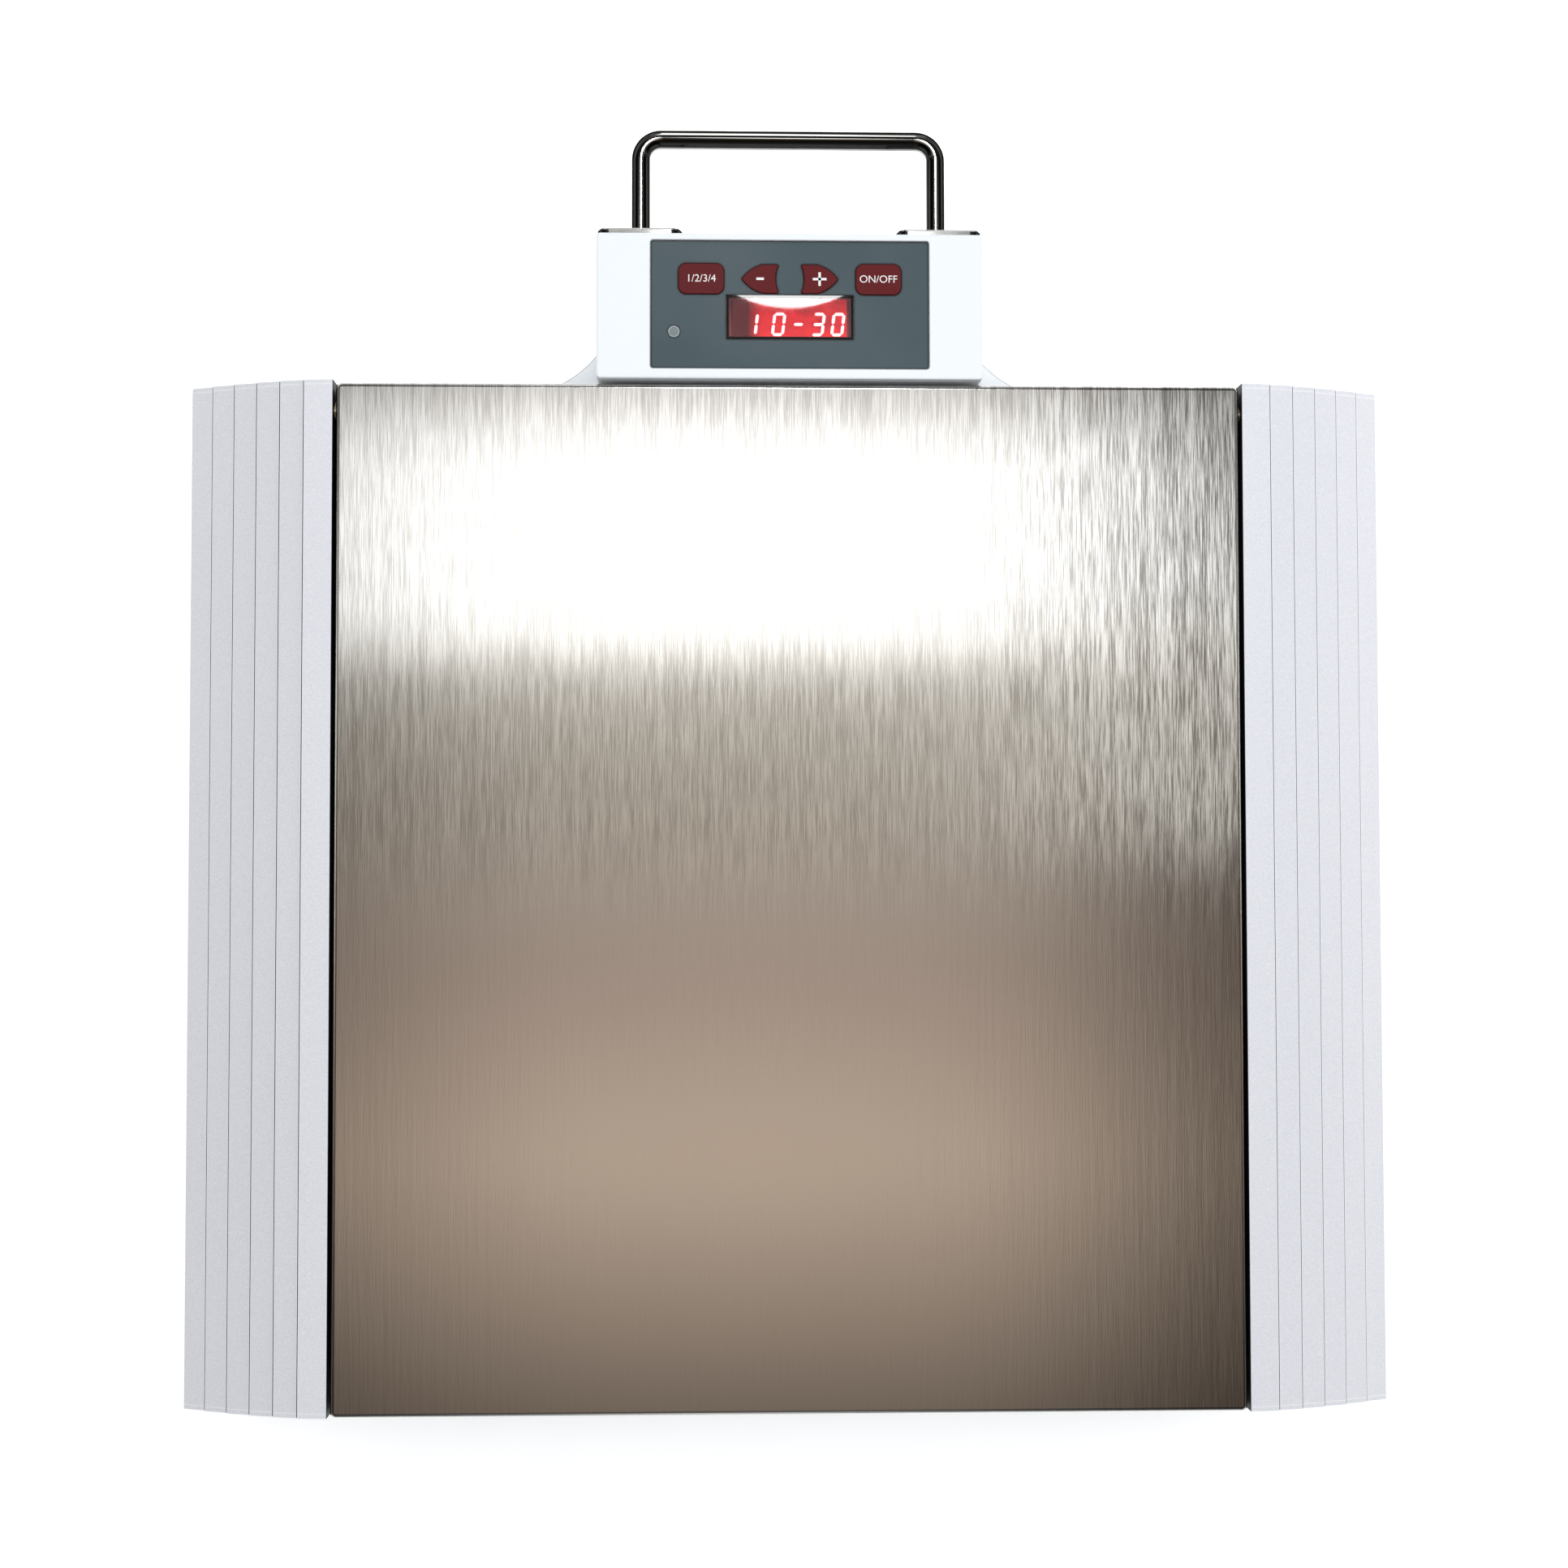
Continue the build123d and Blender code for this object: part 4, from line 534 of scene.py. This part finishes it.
def segment_outlines(character, x_centre, y_centre):
    """The lit segments of one character as slanted six-sided bars, each anticlockwise from above."""
    half = (DIGIT_WIDTH - SEGMENT_WIDTH) / 2
    middle = (DIGIT_HEIGHT - SEGMENT_WIDTH) / 2
    ends = {
        "a": ((-half, middle), (half, middle)),
        "b": ((half, middle), (half, 0)),
        "c": ((half, 0), (half, -middle)),
        "d": ((-half, -middle), (half, -middle)),
        "e": ((-half, -middle), (-half, 0)),
        "f": ((-half, 0), (-half, middle)),
        "g": ((-half, 0), (half, 0)),
        "h": ((-half / 2, middle), (-half / 2, 0)),
        "i": ((-half / 2, 0), (-half / 2, -middle)),
    }
    outlines = []
    for segment in SEGMENTS[character]:
        start, end = (Vector(point) for point in ends[segment])
        along = (end - start).normalized()
        across = Vector((-along.y, along.x)) * SEGMENT_WIDTH / 2
        start += along * SEGMENT_GAP
        end -= along * SEGMENT_GAP
        near = start + along * SEGMENT_WIDTH / 2
        far = end - along * SEGMENT_WIDTH / 2
        bar = (start, near - across, far - across, end, far + across, near + across)
        outlines.append([(x_centre + p.x + p.y * DIGIT_SLANT, y_centre + p.y) for p in bar])
    return outlines


module_low, module_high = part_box("display_module")
module_middle = (module_low + module_high) / 2
first_digit = module_middle.x + DIGITS_RIGHT - DIGIT_PITCH * (len(DIGITS) - 1) / 2
digit_line = module_middle.y - DIGITS_FORWARD
outlines = []
for index, character in enumerate(DIGITS):
    outlines += segment_outlines(character, first_digit + DIGIT_PITCH * index, digit_line)
piece(
    "display_digits",
    plates("display_digits", outlines, module_high.z, module_high.z + DIGIT_THICKNESS),
    "root",
    lit("digit_light", tint(1.0, 0.86, 0.84), strength=3.0),
)


def key_centre(name):
    """The middle of a key and the height of its top face."""
    low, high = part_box(name)
    return (low + high) / 2, high.z


def sign_outlines(centre, length, upright):
    """A level bar, and an upright one across it for a plus, each anticlockwise from above."""
    bars = [(length / 2, SIGN_WIDTH / 2)]
    if upright:
        bars.append((SIGN_WIDTH / 2, length / 2))
    corners = ((-1, -1), (1, -1), (1, 1), (-1, 1))
    return [[(centre.x + a * x, centre.y + b * y) for x, y in corners] for a, b in bars]


print_white = grained(
    "print_white",
    tint(0.80, 0.78, 0.76),
    tint(0.88, 0.86, 0.84),
    grain=2500.0,
    roughness=0.5,
    depth=0.004,
)

for name, body, length, upright in (
    ("key_minus", "minus_key", 3.3 * MM, False),
    ("key_plus", "plus_key", 6.0 * MM, True),
):
    centre, top = key_centre(name)
    outlines = sign_outlines(centre, length, upright)
    mesh = plates(name + "_sign", outlines, top, top + PRINT_THICKNESS)
    piece(name + "_sign", mesh, body, print_white)

for name, body, text in (
    ("key_menu", "menu_key", "1/2/3/4"),
    ("key_start", "start_key", "ON/OFF"),
):
    centre, top = key_centre(name)
    print_top = top + PRINT_THICKNESS
    lettering(name + "_legend", text, LEGEND_SIZE, centre, print_top, body, print_white)

# ---------------------------------------------------------------- floor, light and camera


def floor_sheet():
    """White paper under the oven, lit a little from within so that it stays white."""
    shader = Shader("studio_floor")
    paper = shader.noise((60.0, 60.0, 60.0), detail=3.0)
    paper_mix = shader.spread(paper, 0.0, 1.0)
    material = shader.finish(
        base_color=shader.blend(paper_mix, tint(0.93, 0.93, 0.925), tint(0.95, 0.95, 0.945)),
        roughness=0.9,
        specular_ior_level=0.0,
        emission_color=tint(1.0, 1.0, 0.99),
        emission_strength=0.34,
    )
    half = 4.0
    corners = [(-half, -half, 0), (half, -half, 0), (half, half, 0), (-half, half, 0)]
    mesh = bpy.data.meshes.new("floor")
    mesh.from_pydata(corners, [], [(0, 1, 2, 3)])
    made = bpy.data.objects.new("floor", mesh)
    made.data.materials.append(material)
    bpy.context.scene.collection.objects.link(made)


def angle_bands(shader, angle, bands):
    """A colour for each angle off the zenith, from pairs of degrees and colour."""
    share = shader.spread(angle, 0.0, 1.0, radians(-90), radians(90))
    ramp = shader.node("ShaderNodeValToRGB", {"Fac": share})
    elements = ramp.color_ramp.elements
    for end, (degrees, colour) in zip((elements[0], elements[1]), (bands[0], bands[-1])):
        end.position = (degrees + 90) / 180
        end.color = tint(*colour)
    for degrees, colour in bands[1:-1]:
        elements.new((degrees + 90) / 180).color = tint(*colour)
    return ramp.outputs["Color"]


def grey(level):
    return (level, level, level)


def studio_world():
    """A room seen in the steel: a softbox over the rear, a warm dim ceiling, a dark front, one card."""
    shader = Shader("studio", world=True)
    axes = shader.axes("Generated")
    lean = shader.math("ARCTAN2", axes[1], axes[2])
    sideways = shader.math("ARCTAN2", axes[0], axes[2])
    room = angle_bands(shader, lean, (
        (-90.0, (0.42, 0.43, 0.44)),
        (-62.0, (0.36, 0.36, 0.37)),
        (-52.0, grey(0.09)),
        (-30.0, grey(0.06)),
        (-19.0, (0.016, 0.014, 0.012)),
        (-14.0, (0.05, 0.04, 0.032)),
        (-11.0, (0.15, 0.118, 0.095)),
        (-6.5, (0.32, 0.255, 0.205)),
        (-2.0, (0.235, 0.185, 0.155)),
        (2.0, (0.25, 0.225, 0.195)),
        (5.0, (0.32, 0.30, 0.27)),
        (5.8, (0.94, 0.94, 0.92)),
        (7.0, grey(1.0)),
        (10.0, grey(1.0)),
        (11.3, (0.50, 0.49, 0.48)),
        (12.4, (0.24, 0.23, 0.22)),
        (13.8, grey(0.05)),
        (14.6, grey(0.34)),
        (17.4, grey(0.34)),
        (18.4, grey(0.04)),
        (47.0, grey(0.04)),
        (50.0, grey(0.75)),
        (90.0, grey(0.70)),
    ))
    falloff = angle_bands(shader, sideways, (
        (-90.0, grey(1.0)),
        (-60.0, grey(0.8)),
        (-40.0, grey(0.12)),
        (-13.0, grey(0.12)),
        (-11.0, grey(0.40)),
        (-8.0, grey(0.58)),
        (-4.5, grey(0.95)),
        (7.0, grey(0.95)),
        (11.5, grey(0.27)),
        (14.5, grey(0.12)),
        (40.0, grey(0.12)),
        (60.0, grey(0.8)),
        (90.0, grey(1.0)),
    ))
    black = grey(0.0)
    white = grey(1.0)
    card_lean = angle_bands(shader, lean, ((0.0, black), (1.8, white), (5.8, white), (7.2, black)))
    card_edges = ((5.5, black), (9.0, grey(0.55)), (11.5, white), (16.0, black))
    card_side = angle_bands(shader, sideways, card_edges)
    card = shader.math("MULTIPLY", shader.math("MULTIPLY", card_lean, card_side), 0.8)
    dim_room = shader.blend(falloff, tint(*black), room)
    lit_room = shader.blend(card, dim_room, tint(0.46, 0.445, 0.42))
    background = shader.node("ShaderNodeBackground", {"Color": lit_room, "Strength": 2.5})
    shader.node("ShaderNodeOutputWorld", {"Surface": background.outputs[0]})
    bpy.context.scene.world = shader.block


def soft_light(name, place, aim, size, power, colour):
    """A large lamp that lights surfaces softly without showing in their reflections."""
    lamp = bpy.data.lights.new(name, "AREA")
    lamp.shape = "SQUARE"
    lamp.size = size
    lamp.energy = power
    lamp.color = colour
    made = bpy.data.objects.new(name, lamp)
    made.location = place
    made.rotation_euler = (Vector(aim) - Vector(place)).to_track_quat("-Z", "Y").to_euler()
    made.visible_glossy = False
    bpy.context.scene.collection.objects.link(made)


def window_glint(eye):
    """A small round lamp whose lower edge is mirrored in the upper edge of the display's window."""
    low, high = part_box("display_window")
    inset = 5.5 * MM
    mirror = Vector(((low.x + high.x) / 2, high.y - inset, high.z))
    ray = mirror - Vector(eye)
    upward = Vector((ray.x, ray.y, -ray.z)).normalized()
    distance = 1.6
    radius = 0.13
    lamp = bpy.data.lights.new("window_glint", "AREA")
    lamp.shape = "DISK"
    lamp.size = 2 * radius
    lamp.energy = 4.0
    made = bpy.data.objects.new("window_glint", lamp)
    across = upward.cross(Vector((1.0, 0.0, 0.0))).normalized()
    made.location = mirror + upward * distance + across * radius
    made.rotation_euler = upward.to_track_quat("Z", "Y").to_euler()
    made.visible_diffuse = False
    bpy.context.scene.collection.objects.link(made)


def add_camera():
    """The photo's camera; returns where it stands."""
    lens = bpy.data.cameras.new("camera")
    lens.lens = 55.9
    lens.sensor_width = 36.0
    lens.clip_start = 0.01
    lens.clip_end = 20.0
    made = bpy.data.objects.new("camera", lens)
    made.location = (-0.0353, -0.0534, 1.1660)
    made.rotation_euler = (radians(2.355), radians(-1.757), radians(-0.083))
    bpy.context.scene.collection.objects.link(made)
    bpy.context.scene.camera = made
    return made.location


floor_sheet()
studio_world()
soft_light("overhead", (0.0, 0.1, 2.4), (0.0, 0.0, 0.0), size=2.2, power=42.0, colour=(0.92, 0.96, 1.0))
soft_light("right_side", (1.8, 0.5, 1.3), (0.0, 0.0, 0.05), size=1.4, power=14.0, colour=(0.95, 0.97, 1.0))
soft_light("left_rear", (-1.0, 1.5, 0.9), (-0.2, 0.1, 0.05), size=1.0, power=3.5, colour=(0.95, 0.97, 1.0))
window_glint(add_camera())
bpy.context.scene.view_settings.view_transform = "Standard"
